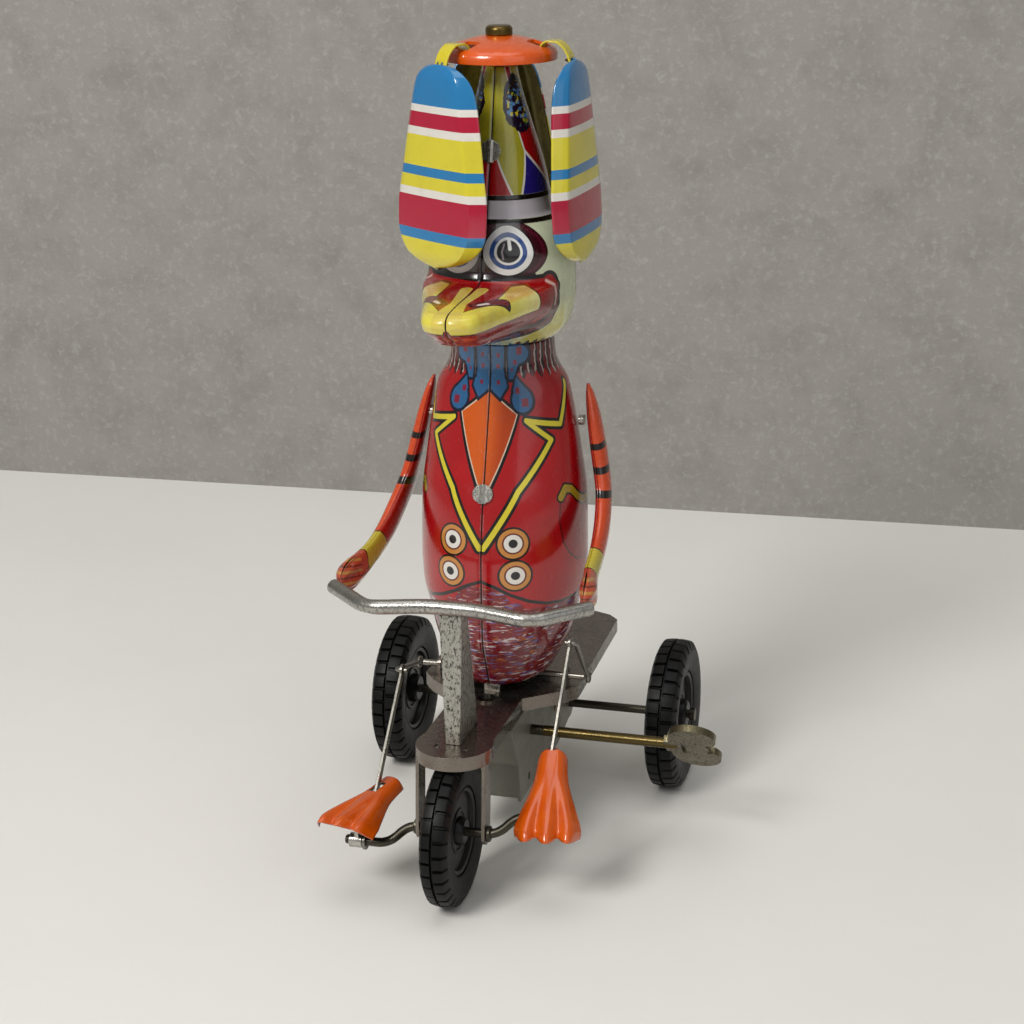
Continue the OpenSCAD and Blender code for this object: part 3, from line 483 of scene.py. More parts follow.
JAW = [(8.0, 127), (8.5, 132.5), (17.0, 133.6), (21.0, 136.6), (25.5, 134.2), (27.0, 130.0),
       (24.0, 127)]
BILL = [(-1, 143.7), (17.5, 143.7), (20.6, 141.5), (20.8, 137.0), (18.2, 133.6), (12.0, 131.6),
        (-1, 130.2)]
EYE_PATCH = ((9.3, 150.4), (9.3, 6.3))      # centre, radii
EYE_ARC, EYE_Z = 7.3, 150.4


def cheeks(mat, chart, arc, z):
    """Jaw, side feather lines and the dark patch round the eye."""
    mat.ink((204, 198, 92), chart.polygon(JAW), soft=0.5)
    mat.ink((214, 212, 140), chart.ellipse((22.5, 134.0), (3.2, 2.4)), soft=1.2, amount=0.7)
    feather = [(31.6, 149.5), (32.6, 145.5), (33.2, 141.0), (32.8, 137.5)]
    mat.ink((60, 66, 60), chart.line(feather, 0.32), soft=0.25)
    for drop, start in enumerate((40.0, 47.0, 54.0)):
        feather = [(start, 150.0 - drop), (start + 1.6, 145.0 - drop), (start + 1.2, 139.0 - drop)]
        mat.ink((96, 104, 92), chart.line(feather, 0.26), soft=0.25)
    patch = union(chart.ellipse(*EYE_PATCH), chart.polygon(
        [(-1, 158), (9.0, 157.0), (14.5, 145.0), (15.5, 143.2), (-1, 143.2)]))
    mat.ink((66, 8, 30), patch, soft=0.2)
    mat.ink((28, 8, 20), patch, soft=0.2, fade=z.below(147.0, 0.35), amount=0.8)
    mat.ink((108, 26, 52), (chart.ellipse(*EYE_PATCH) + 0.9).abs() - 0.35, soft=0.5,
            fade=arc.above(11.0, 0.4), amount=0.6)


def bill(mat, chart, arc, half_x, y, z):
    red = union(chart.polygon(BILL), chart.circle((18.6, 141.8), 2.5))
    mat.ink(BLACK, red - 1.0)
    mat.ink((168, 12, 22), red, soft=0.12)
    # painted shade: the red is darkened toward the bottom and the sides, on the underside of the
    # bill
    mat.ink((96, 6, 22), red, soft=0.12, amount=0.85,
            fade=(arc * 0.06 + (138.4 - z) * 0.16 - 0.35).clamped())
    shine = [(17.6, 143.0), (19.4, 142.0), (19.9, 139.6), (19.2, 137.6)]
    mat.ink((228, 196, 190), chart.line(shine, 0.42), soft=0.3, amount=0.9)
    crease = [(18.9, 138.8), (17.4, 135.6), (13.0, 133.6), (7.0, 133.2)]
    mat.ink((24, 8, 14), chart.line(crease, 0.5), soft=0.2)
    glow = [(18.0, 138.6), (16.2, 136.0), (12.0, 134.6)]
    mat.ink((190, 70, 60), chart.line(glow, 0.3), soft=0.5, amount=0.6)
    # yellow lip
    edge = ((y + 75.5) * 0.58 + 0.8).apply("MINIMUM", 7.4)
    lip = overlap((edge - half_x) * 0.94, 137.5 + (arc - 4.0) * 0.05 - z)
    lip = overlap(lip, z - 142.75)
    lip = overlap(lip, union(arc - 10.0, chart.circle((10.0, 139.7), 3.15)))
    mat.lay((60, 8, 20), fill(lip - 0.3) * 0.0 + fill(lip - 0.35) * 0.9)
    mat.ink((232, 220, 96), lip, soft=0.12)
    mat.ink((238, 236, 190), lip, soft=0.12, fade=arc.above(6.5, 0.16), amount=0.7)
    mat.ink((206, 140, 40), lip, soft=0.12, amount=0.3,
            fade=mat.noise(0.3, seed=8.0).above(0.5, 4.0))
    mat.ink((206, 120, 40), overlap(arc.band(9.0, 3.0), z.band(142.2, 0.7)), soft=0.8, amount=0.5)
    # yellow stripe along the top, and a nostril each side of it, charted from above
    top = Chart(half_x, y)
    stripe = union(top.stroke((1.9, -52.9), (1.0, -66.0), 1.45, end_radius=0.9),
                   top.stroke((1.0, -66.0), (1.5, -76.0), 1.0, end_radius=2.0))
    stripe = overlap(stripe, 138.2 - z)
    mat.ink((224, 206, 100), stripe, soft=0.15)
    mat.ink((206, 150, 90), stripe + 0.4, soft=0.5, fade=((y + 62.0) * 0.1).clamped(), amount=0.5)
    nostril = overlap(top.stroke((4.1, -66.2), (8.9, -59.6), 1.25), 139.0 - z)
    mat.ink((48, 6, 16), nostril - 0.3)
    mat.ink((128, 20, 32), nostril + 0.15, soft=0.2)
    mat.ink((236, 226, 220), top.stroke((4.7, -65.6), (6.2, -63.6), 0.5), soft=0.2)
    # mouth line
    mat.ink((120, 10, 24), overlap(z.band(137.0, 0.22), arc - 9.0), soft=0.2, amount=0.9)


def eye(mat, chart, arc, z):
    radius = hypot((arc - EYE_ARC) * 0.80, z - EYE_Z)
    mat.ink((20, 10, 20), radius - 5.75)
    mat.ink((228, 228, 226), radius - 5.4)
    mat.ink((150, 150, 158), radius - 5.4, fade=arc.below(EYE_ARC - 2.0, 0.3), amount=0.5)
    mat.ink((34, 78, 142), radius - 4.05)
    mat.ink((228, 228, 226), radius - 3.05)
    mat.ink((20, 14, 22), radius - 2.5)
    mat.ink((232, 230, 228), chart.stroke((7.6, 152.5), (7.7, 151.1), 0.5), soft=0.15)
    glint = [(6.2, 152.0), (5.5, 150.4), (5.9, 148.8)]
    mat.ink((170, 160, 170), chart.line(glint, 0.22), soft=0.2, amount=0.8)


def hat_print(mat, chart, arc, z):
    """Hat band, the cone's yellow darkened as painted shade under the disc, and coloured panels on
    the cone above it.
    """
    mat.ink((206, 200, 208), z.band(159.2, 2.1), soft=0.1)
    mat.ink(BLACK, z.band(161.85, 0.6), soft=0.1)
    mat.ink(BLACK, z.band(156.5, 0.5), soft=0.1)
    cone = fill(162.4 - z, 0.1)
    # cone yellow: the print's yellow, darkened as painted shade from the hat disc and paddles above
    mat.lay((176, 170, 50), cone)
    mat.mottle((176, 158, 40), scale=0.16, detail=2.0, seed=1.0,
               level=0.5, gain=4.0, within=cone, amount=0.4)
    front = chart.polygon([(-0.2, 175), (1.4, 173.0), (10.3, 161.6), (-0.2, 161.6)])
    side = union(chart.polygon([(17.6, 176.8), (19.6, 171.6), (31.0, 164.6), (40, 163), (44, 176),
                                (30, 181), (20, 182)]),
                 chart.polygon([(12.0, 191), (17.0, 191), (22.0, 184.0), (17.0, 184.5)]))
    low = chart.polygon([(19.2, 171.3), (14.6, 161.8), (34.0, 161.8), (31.5, 163.6)])
    for panel, margin, color in ((front, 0.8, (176, 18, 30)), (side, 0.9, (170, 16, 28)),
                                 (low, 0.9, (46, 38, 132))):
        mat.ink(WHITE, panel - margin, within=cone)
        mat.ink(color, panel, soft=0.1, within=cone)
    ragged = mat.noise(0.55, detail=2.0, seed=12.0) - 0.5
    blot = chart.ellipse((21.0, 182.8), (13.0, 6.6)) + ragged * 2.4
    mat.ink((34, 16, 46), blot, soft=0.15, within=cone)
    # flecks in the blot: colour, inset, noise scale, seed, level
    for color, inset, scale, seed, level in (((96, 140, 190), 1.3, 0.75, 22.0, 0.53),
                                             ((206, 190, 60), 1.6, 0.8, 40.0, 0.58),
                                             ((60, 130, 60), 1.6, 0.8, 55.0, 0.62)):
        flecks = mat.noise(scale, detail=2.0, seed=seed)
        mat.ink(color, blot + inset, soft=0.2, within=cone, fade=flecks.above(level, 20.0))
    # plain panels at the back
    back = fill(40.0 - arc, 0.2) * cone
    for color, panel in ((WHITE, arc.band(41.0, 1.0)), ((196, 190, 66), 42.0 - arc),
                         (WHITE, arc.band(52.0, 0.9)), ((46, 38, 132), 52.9 - arc)):
        mat.ink(color, panel, soft=0.1, within=back)


def head_paint():
    mat = Paint("head_print", (214, 220, 192), rough=0.25, coat=0.6)
    x, y, z = mat.xyz()
    arc = arc_around_axis(x, y)[0]
    chart = Chart(arc, z)
    mat.mottle((186, 198, 174), scale=0.09, detail=2.0, seed=3.0, level=0.45, gain=3.0, amount=0.35)
    mat.lay((222, 222, 158), z.below(140.0, 0.1) * 0.6)
    cheeks(mat, chart, arc, z)
    bill(mat, chart, arc, x.abs(), y, z)
    eye(mat, chart, arc, z)
    # wavy lower edge at the neck
    mat.ink((34, 12, 18), z - 127.9 - (arc * 1.9).sin() * 0.5, soft=0.3, fade=arc.above(7.0, 1.0))
    hat_print(mat, chart, arc, z)
    mat.ink((30, 20, 22), x.abs() - 0.18, soft=0.12)       # crimped seam
    mat.wear(0.9)
    mat.finish()


def arm_paint(name, base, dark, outer):
    mat = Paint(name, base, rough=0.26, coat=0.75)
    y, z = mat.xyz()[1:]
    outline = (26, 12, 10)
    mat.mottle(dark, scale=0.12, detail=2.0, seed=6.0, level=0.45, gain=3.0, amount=0.4)
    # sleeve folds: height, half width, slope
    for fold_z, half, slope in ((100.5, 0.75, 0.15), (94.8, 0.85, 0.05), (88.6, 0.95, -0.22)):
        fold = overlap((z - fold_z - (y + 30.0) * slope).abs() - half, -40.0 - y)
        mat.ink(outline, fold, soft=0.2,
                fade=((-(y + 26.6)) * 0.6).clamped() if outer else 1.0)
    cuff = -(y + 45.0) * 0.80 - (z - 78.5) * 0.60 * 1.0
    mat.ink(outline, -cuff - 0.35, soft=0.1)
    mat.ink((206, 190, 70), -cuff, soft=0.1)
    hand = -(y + 54.2) * 0.92 - (z - 75.0) * 0.3 + (z - 74.0).abs() * 0.25
    mat.ink(outline, -hand - 0.35, soft=0.1)
    mat.ink((196, 90, 62), -hand, soft=0.1)
    fingers = ((z - 73.6) * 2.3 + (y + 60.0) * 0.5).sin()
    mat.ink((206, 160, 90), -hand + 2.5, soft=0.4, fade=fingers.above(0.55, 3.0), amount=0.85)
    mat.ink((80, 26, 16), -hand + 2.2, soft=0.4, fade=(-fingers).above(0.82, 9.0), amount=0.7)
    mat.wear(0.9)
    mat.finish()


PADDLE_TOP = 192.6
BLUE, CREAM, CRIMSON, YELLOW = (44, 136, 190), (232, 228, 222), (186, 18, 66), (224, 212, 66)
# share of the way down, colour from there on
PADDLE_BANDS = [(0.0, BLUE), (0.196, CREAM), (0.231, CRIMSON), (0.307, CREAM), (0.345, YELLOW),
                (0.498, BLUE), (0.545, YELLOW), (0.609, CREAM), (0.645, CRIMSON), (0.809, BLUE),
                (0.862, YELLOW)]


def paddle_paint():
    mat = Paint("paddle_print", None, rough=0.2, coat=0.7)
    down = (PADDLE_TOP - mat.xyz()[2]) / 46.5
    node = mat.tree.nodes.new("ShaderNodeValToRGB")
    ramp = node.color_ramp
    ramp.interpolation = "CONSTANT"
    ramp.elements.remove(ramp.elements[0])
    for i, (share, color) in enumerate(PADDLE_BANDS):
        stop = ramp.elements.new(share) if i else ramp.elements[0]
        stop.position = share
        stop.color = mat.linear(color)
    mat.link(down.socket, node.inputs[0])
    mat.color = node.outputs[0]
    mat.mottle((120, 60, 50), scale=0.14, seed=4.0, level=0.5, gain=3.0, amount=0.12)
    mat.wear(0.6)
    mat.finish()


jacket_paint()
head_paint()
arm_paint("arm_outer_print", (218, 88, 36), dark=(190, 60, 24), outer=True)
arm_paint("arm_inner_print", (182, 44, 24), dark=(130, 20, 16), outer=False)
paddle_paint()


# ---------------------------------------------------------------- mesh helpers
def curve(table, x):
    """Monotone cubic through the (x, value) rows of a table, held at its ends."""
    knots, values = np.array(table, float).T
    gap = np.diff(knots)
    slope = np.diff(values) / gap
    tangent = np.zeros(len(knots))
    tangent[0], tangent[-1] = slope[0], slope[-1]
    for i in range(1, len(knots) - 1):
        if slope[i-1] * slope[i] > 0:
            before, after = 2*gap[i] + gap[i-1], gap[i] + 2*gap[i-1]
            tangent[i] = (before + after) / (before/slope[i-1] + after/slope[i])
    x = np.clip(np.asarray(x, float), knots[0], knots[-1])
    i = np.clip(np.searchsorted(knots, x, side="right") - 1, 0, len(gap) - 1)
    t = (x - knots[i]) / gap[i]
    return ((2*t**3 - 3*t**2 + 1) * values[i] + (t**3 - 2*t**2 + t) * gap[i] * tangent[i]
            + (-2*t**3 + 3*t**2) * values[i+1] + (t**3 - t**2) * gap[i] * tangent[i+1])


def finish_object(obj, body, node, materials, sharp):
    """Give an object its materials and shading, attach it to its body, and hide the CAD part it
    stands for.
    """
    mesh = obj.data
    for name in materials:
        mesh.materials.append(MATERIALS[name])
    mesh.polygons.foreach_set("use_smooth", [True] * len(mesh.polygons))
    mesh.set_sharp_from_angle(angle=math.radians(sharp))
    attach(obj, body)
    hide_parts(node)


def add_object(name, data):
    obj = bpy.data.objects.new(name, data)
    bpy.context.scene.collection.objects.link(obj)
    return obj


def mesh_object(name, points, faces, body, node, materials, sharp=38):
    mesh = bpy.data.meshes.new(name)
    points = np.asarray(points).reshape(-1, 3) * MM
    mesh.from_pydata([tuple(p) for p in points], [], [tuple(int(k) for k in f) for f in faces])
    mesh.update()
    obj = add_object(name, mesh)
    finish_object(obj, body, node, materials, sharp)
    return obj


def grid_faces(rows, cols, wrap=False, flip=False, close=False):
    """Quads of a grid; wrap joins the last column to the first, close does so for rows."""
    faces = []
    for i in range(rows if close else rows - 1):
        low, high = i * cols, (i + 1) % rows * cols
        for j in range(cols if wrap else cols - 1):
            k = (j + 1) % cols
            face = (low + j, low + k, high + k, high + j)
            faces.append(face[::-1] if flip else face)
    return faces


def thicken(obj, thickness, lined=False):
    wall = obj.modifiers.new("wall", "SOLIDIFY")
    wall.thickness = thickness * MM
    wall.offset = -1
    wall.use_even_offset = True
    wall.use_quality_normals = True
    if lined:
        wall.material_offset = 1
        wall.material_offset_rim = 0


def shell(name, grid, thickness, body, node, material, flip=False):
    """Sheet from a grid of points, printed outside and lacquered inside."""
    faces = grid_faces(*grid.shape[:2], flip=flip)
    obj = mesh_object(name, grid, faces, body, node, [material, "inside_lacquer"])
    thicken(obj, thickness, lined=True)


def add_bevel(obj, width, angle):
    edge = obj.modifiers.new("edge", "BEVEL")
    edge.width = width * MM
    edge.segments = 2
    edge.limit_method = "ANGLE"
    edge.angle_limit = math.radians(angle)


def copy_part(node, name, body, material, edge, edge_angle=35, sharp=30):
    """Cleaned copy of a CAD piece with bevelled edges."""
    source = NODES[node]
    mesh = source.data.copy()
    mesh.name = name
    obj = add_object(name, mesh)
    obj.matrix_world = source.matrix_world.copy()
    work = bmesh.new()
    work.from_mesh(mesh)
    bmesh.ops.remove_doubles(work, verts=work.verts, dist=2e-6)
    bmesh.ops.dissolve_limit(work, angle_limit=math.radians(0.6), verts=work.verts,
                             edges=work.edges)
    work.to_mesh(mesh)
    work.free()
    mesh.materials.clear()
    finish_object(obj, body, node, [material], sharp)
    if edge:
        add_bevel(obj, edge, edge_angle)


def copy_parts(body, *rows):
    """Rows are CAD node, new name, material and bevel width."""
    for node, name, material, edge in rows:
        copy_part(node, name, body, material, edge)


def rounded_path(points, steps, share):
    """Polyline whose corners are rounded over a share of the shorter leg."""
    points = [np.array(p, float) for p in points]
    path = [points[0]]
    for a, b, c in zip(points, points[1:], points[2:]):
        before, after = np.linalg.norm(b - a), np.linalg.norm(c - b)
        reach = share * min(before, after)
        start, end = b + (a - b) / before * reach, b + (c - b) / after * reach
        for t in np.linspace(0, 1, steps):
            path.append((1-t)**2 * start + 2*t*(1-t) * b + t*t * end)
    path.append(points[-1])
    return np.array(path)


def tube(path, radius, steps, ends=True):
    """Round tube along a path, with chamfered ends. The radius may vary along it."""
    count = len(path)
    radii = np.full(count, radius) if np.isscalar(radius) else radius
    tangents = np.gradient(path, axis=0)
    tangents /= np.linalg.norm(tangents, axis=1)[:, None]
    side = np.cross(tangents[0], [0, 0, 1.0])
    side /= np.linalg.norm(side)
    points = []
    for centre, tangent, r in zip(path, tangents, radii):
        side = side - tangent * np.dot(side, tangent)
        side /= np.linalg.norm(side)
        other = np.cross(tangent, side)
        for k in range(steps):
            a = 2 * math.pi * k / steps
            points.append(centre + r * (math.cos(a) * side + math.sin(a) * other))
    faces = grid_faces(count, steps, wrap=True, flip=True)
    if ends:
        for i, outward in ((0, -1), (count - 1, 1)):
            base, first = i * steps, len(points)
            lift = outward * tangents[i] * radii[i] * 0.22
            for k in range(steps):
                points.append(path[i] + lift + (points[base + k] - path[i]) * 0.78)
            for k in range(steps):
                k2 = (k + 1) % steps
                faces.append((base + k, base + k2, first + k2, first + k)[::-outward])
            faces.append(tuple(range(first, first + steps))[::-outward])
    return points, faces


def lathe(profile, steps, centre):
    """Closed (radius, x) profile turned about the X direction through a centre."""
    points = []
    for k in range(steps):
        a = 2 * math.pi * k / steps
        for r, x in profile:
            points.append((centre[0] + x, centre[1] + r*math.cos(a), centre[2] + r*math.sin(a)))
    return points, grid_faces(steps, len(profile), wrap=True, close=True)


def join(*parts):
    points, faces = [], []
    for part_points, part_faces in parts:
        base = len(points)
        points += list(part_points)
        faces += [tuple(k + base for k in face) for face in part_faces]
    return points, faces


# ---------------------------------------------------------------- body shells
# height z, radius toward the side, front and back
BODY_SIDE = [
    (42, 11.5), (47, 14.1), (52, 16.5), (61, 18.8), (66, 20.1), (73, 20.5), (86, 20.4), (98.7, 19),
    (112, 16.8), (116, 15.9), (119.5, 13.9), (122, 12.9), (127, 12.4)]
BODY_FRONT = [
    (42, 16.2), (44, 17.4), (47, 18.6), (56, 21.9), (66, 22.3), (74, 22.3), (80, 21.6),
    (88.6, 20.2), (95.5, 18.1), (113.8, 12.9), (118, 11.8), (122, 11.3), (127, 11.4)]
BODY_BACK = [
    (42, 12.8), (47, 15.6), (56, 18.6), (66, 20.4), (80, 20.6), (90, 19.6), (105, 17.2),
    (116, 14.2), (122, 12.2), (127, 11.6)]
SEAM_STEPS = np.array([0.35, 0.7, 1.1, 1.6])    # degrees from the seam, for finer columns


def seam_groove(x):
    return 0.34 * math.exp(-(x / 0.42) ** 2)


def body_grid(sign):
    heights = np.concatenate([np.linspace(42.02, 44, 6), np.linspace(44.6, 127, 130)])
    degrees = np.concatenate([np.linspace(-90, 90, 70), -90 + SEAM_STEPS, 90 - SEAM_STEPS])
    angles = np.radians(np.unique(degrees))
    grid = np.zeros((len(heights), len(angles), 3))
    for i, z in enumerate(heights):
        side, front, back = (curve(t, z) for t in (BODY_SIDE, BODY_FRONT, BODY_BACK))
        lip = 0.0 if z > 43.2 else -0.35 * (43.2 - z)
        for j, a in enumerate(angles):
            x = max(0.03, (side + lip) * math.cos(a))
            y = AXIS_Y + ((front if a < 0 else back) + lip) * math.sin(a)
            if abs(a) > 1:
                y -= math.copysign(seam_groove(x), a)
            grid[i, j] = (sign * x, y, z)
    return grid


for side, sign in SIDES:
    shell("jacket_" + side, body_grid(sign), 0.5, "chassis", "body_shell_" + side,
          "jacket_print", flip=sign < 0)

# ---------------------------------------------------------------- head shells
# height z, radius toward the side, front and back
HEAD_SIDE = [
    (127.1, 12.8), (128.5, 14.4), (131, 16.2), (135, 17.4), (138, 17.8), (148, 17.8), (151, 17.3),
    (154, 15.9), (156, 14.0), (157.2, 12.6), (159, 12.0), (162, 11.6), (166, 10.9), (171, 9.6),
    (178, 7.5), (185, 5.4), (191, 4.0)]
HEAD_FRONT = [
    (127.1, 12.4), (128.5, 14), (131, 15.8), (135, 17.0), (138, 17.9), (149, 17.9), (152, 16.6),
    (154, 15.0), (156, 13.2), (157.2, 12.3), (159, 12.0), (162, 11.4), (166, 10.6), (172, 8.5),
    (181, 6.3), (191, 4.0)]
HEAD_BACK = [
    (127.1, 12.6), (131, 16.2), (138, 18.4), (148, 18.2), (154, 15.6), (157.2, 12.6), (159, 12.1),
    (166, 11.2), (178, 7.6), (191, 4.0)]
# height z, share of the bill's full reach
BILL_SHARE = [
    (127.1, 0), (128.5, 0.12), (131, 0.42), (133.3, 0.79), (135, 0.88), (136.6, 0.945),
    (138, 0.98), (139.4, 1), (140.6, 0.985), (141.5, 0.93), (142.2, 0.69), (142.6, 0.30),
    (143.0, 0.10), (143.8, 0.03), (145.4, 0)]
# degrees from the front, reach beyond the head
BILL_REACH = [
    (0, 28.9), (3.5, 28.6), (7.1, 27.2), (10.4, 23.3), (14, 18.1), (18.2, 14.2), (25, 9.5),
    (32.4, 6.5), (44, 3.8), (60, 0.9), (72, 0)]
MAX_REACH = 46.7


def hump(value, centre, width):
    return ((value - centre) / width) ** 2


def head_grid(sign):
    heights = np.unique(np.concatenate([
        np.linspace(127.1, 141.4, 64), np.linspace(141.4, 143.2, 34),
        np.linspace(143.2, 158, 50), np.linspace(158, 191, 60)]))
    angles = np.unique(np.concatenate([
        [0, 0.35, 0.7, 1.1, 1.6], np.linspace(2.2, 34, 42),
        np.linspace(35, 178.4, 64), [178.9, 179.3, 179.65, 180]]))
    grid = np.zeros((len(heights), len(angles), 3))
    for i, z in enumerate(heights):
        side, front, back, share = (
            float(curve(t, z)) for t in (HEAD_SIDE, HEAD_FRONT, HEAD_BACK, BILL_SHARE))
        for j, a in enumerate(angles):
            cos, sin = math.cos(math.radians(a)), math.sin(math.radians(a))
            depth = front if a < 90 else back
            r = 1 / math.sqrt((cos / depth) ** 2 + (sin / side) ** 2)
            r += share * float(curve(BILL_REACH, a))
            # lip bulge, then the hollow below it
            r += 0.9 * math.exp(-hump(z, 138.6, 2.2) - hump(a, 24, 16))
            r -= 0.6 * math.exp(-hump(z, 134.9, 0.9) - hump(a, 16, 22))
            # rolled edges of the hat band
            r += 0.28 * math.exp(-hump(z, 161.6, 0.35)) + 0.3 * math.exp(-hump(z, 157.0, 0.4))
            r = min(r, MAX_REACH)
            x = max(0.03, r * sin)
            groove = seam_groove(x)
            grid[i, j] = (sign * x, AXIS_Y - r * cos + (groove if a < 90 else -groove), z)
    return grid


for side, sign in SIDES:
    shell("head_" + side, head_grid(sign), 0.5, "chassis", "head_shell_" + side,
          "head_print", flip=sign < 0)

# ---------------------------------------------------------------- arms
# share of the way from shoulder to fingertip, then x, y, drop from the shoulder, half width
SHOULDER_Z = 115
ARM_X = [(0, 20.3), (0.2, 22.6), (0.4, 25), (0.7, 28), (0.9, 30), (1, 30.6)]
ARM_Y = [(0, -26.6), (0.2, -27.6), (0.34, -29.5), (0.46, -34), (0.58, -40.5), (0.7, -48.5),
         (0.85, -58), (1, -66.3)]
ARM_DROP = [(0, 0), (0.2, -15), (0.34, -24.5), (0.46, -31), (0.58, -36), (0.7, -39.3),
            (0.85, -41.4), (1, -41.8)]
ARM_WIDTH = [(0, 0.5), (0.03, 1.7), (0.07, 2.5), (0.12, 3.1), (0.25, 3.6), (0.5, 3.5), (0.7, 3.1),
             (0.78, 3.4), (0.88, 3.8), (0.94, 3.1), (0.98, 1.7), (1, 0.5)]


def arm_grid(sign, outer):
    """Half of an arm, bulging away from the body if outer, else toward it."""
    shares = np.unique(np.concatenate([
        np.linspace(0, 0.1, 14), np.linspace(0.1, 0.9, 60), np.linspace(0.9, 1, 16)]))
    cols = 25
    bulge_depth = 0.70 if outer else 0.32
    grid = np.zeros((len(shares), cols, 3))
    for i, s in enumerate(shares):
        x, y, drop, width = (float(curve(t, s)) for t in (ARM_X, ARM_Y, ARM_DROP, ARM_WIDTH))
        a, b = max(0, s - 0.03), min(1, s + 0.03)
        run_y, run_z = (curve(t, b) - curve(t, a) for t in (ARM_Y, ARM_DROP))
        length = math.hypot(run_y, run_z)
        if sign < 0:
            inset = 1.9 * max(0.0, 1 - s / 0.5) ** 1.2
        else:
            inset = 2.0 * min(1.0, max(0.0, (s - 0.3) / 0.45)) ** 1.5
        ridge = 0.0 if s < 0.8 else 0.22 * math.sin((s - 0.8) / 0.2 * math.pi)
        for j in range(cols):
            q = math.pi * j / (cols - 1)
            bulge = 0.06 + width * bulge_depth * math.sin(q) ** 0.8 + ridge * math.cos(6 * q)
            offset = width * math.cos(q)
            grid[i, j] = (sign * (x + (bulge if outer else -bulge) - inset),
                          y - offset * run_z / length,
                          SHOULDER_Z + drop + offset * run_y / length)
    return grid


for side, sign in SIDES:
    for layer, outer in (("outer", True), ("inner", False)):
        shell(f"arm_{layer}_{side}", arm_grid(sign, outer), 0.35, "chassis",
              f"arm_{side}_{layer}", f"arm_{layer}_print", flip=(sign < 0) == outer)

# ---------------------------------------------------------------- paddles, straps and disc
PADDLES = (("front", -33), ("side", 86), ("rear", 200))     # degrees about the axis from -Y
PADDLE_LENGTH = 46.6
PADDLE_RADIUS = 19.65       # from the axis to the paddle's top
PADDLE_LEAN = math.radians(3)
WING_ANGLE = math.radians(47)
CREASE = 0.70               # share of the half width where the wing folds out
# share of the way down, half width of the face
PADDLE_FACE = [
    (0, 0.6), (0.008, 2.9), (0.02, 4.3), (0.04, 5.6), (0.08, 6.8), (0.14, 7.6), (0.22, 8.3),
    (0.3, 9.0), (0.5, 10.6), (0.7, 12), (0.8, 11.9), (0.87, 10.9), (0.92, 9.3), (0.96, 6.9),
    (0.985, 4.2), (1, 0.8)]
# share of the way down, width of the wing
PADDLE_WING = [
    (0, 0.3), (0.02, 1.5), (0.04, 2.2), (0.08, 3.2), (0.14, 3.85), (0.25, 4.2), (0.85, 4.2),
    (0.92, 3.4), (0.96, 2.4), (0.985, 1.3), (1, 0.3)]
# radius from the axis, height
STRAP = [(10.3, 192.9), (10.3, 194.4), (10.8, 195.8), (12.2, 196.75), (14.2, 196.7),
         (16.0, 195.6), (17.1, 194.0), (17.7, 192.4), (18.2, 191.2), (18.75, 189.9)]


def around_axis(across, radius, z, degrees):
    """Point at a radius out from the axis, in the plane turned by an angle from -Y."""
    cos, sin = math.cos(math.radians(degrees)), math.sin(math.radians(degrees))
    return across * cos + radius * sin, AXIS_Y + across * sin - radius * cos, z


def paddle_grid(degrees):
    rim = np.linspace(0, 1, 14) ** 1.8 * 0.08
    shares = np.unique(np.concatenate([1 - rim, np.linspace(0.08, 0.92, 50), rim]))[::-1]
    cols = np.concatenate([np.linspace(-1, -0.72, 9), np.linspace(-0.70, 0.70, 19),
                           np.linspace(0.72, 1, 9)])
    grid = np.zeros((len(shares), len(cols), 3))
    cos, sin = math.cos(PADDLE_LEAN), math.sin(PADDLE_LEAN)
    for i, s in enumerate(shares):
        face, wing = float(curve(PADDLE_FACE, s)) * 1.05, float(curve(PADDLE_WING, s))
        curl = 0
        if s < 0.08:
            curl = ((0.08 - s) / 0.08) ** 2 * 0.9
        elif s > 0.92:
            curl = ((s - 0.92) / 0.08) ** 2 * 1.1
        for j, u in enumerate(cols):
            a = abs(u)
            if a <= CREASE:
                k = a / CREASE
                across, out = face * k, 0.42 * k * k
            else:
                k = (a - CREASE) / 0.30
                across = face + wing * math.cos(WING_ANGLE) * k
                out = 0.42 + wing * math.sin(WING_ANGLE) * k
            if 0.6 < a < 0.8:       # rounded crease
                out += 0.10 * math.cos((a - CREASE) / 0.1 * math.pi / 2) ** 2
            out += curl
            grid[i, j] = around_axis(math.copysign(across, u),
                                     PADDLE_RADIUS + s * PADDLE_LENGTH * sin - out * cos,
                                     PADDLE_TOP - s * PADDLE_LENGTH * cos + out * sin, degrees)
    return grid


def strap(name, degrees):
    rows, cols = 60, 7
    along, knots = np.linspace(0, 1, rows), np.linspace(0, 1, len(STRAP))
    radii, heights = (curve(list(zip(knots, values)), along) for values in zip(*STRAP))
    points = [around_axis(across, r, z, degrees)
              for r, z in zip(radii, heights) for across in np.linspace(-2, 2, cols)]
    obj = mesh_object("strap_ribbon_" + name, points, grid_faces(rows, cols, flip=True),
                      "paddle_" + name, "strap_" + name, ["strap_yellow"])
    wall = obj.modifiers.new("wall", "SOLIDIFY")
    wall.thickness = 0.44 * MM
    wall.offset = 0
    add_bevel(obj, 0.09, angle=50)


for name, degrees in PADDLES:
    shell("paddle_panel_" + name, paddle_grid(degrees), 0.5, "paddle_" + name,
          "paddle_" + name, "paddle_print")
    strap(name, degrees)
copy_part("hat_disc", "disc_saucer", "hat", "disc_orange", edge=0.12, edge_angle=55, sharp=50)
copy_part("hat_knob", "knob", "hat", "knob_brass", edge=0.25, sharp=40)

# ---------------------------------------------------------------- tyres and hubs
FRONT_Y, FRONT_RADIUS = -78.3, 18.2
REAR_X, REAR_RADIUS = 36.9, 19.5
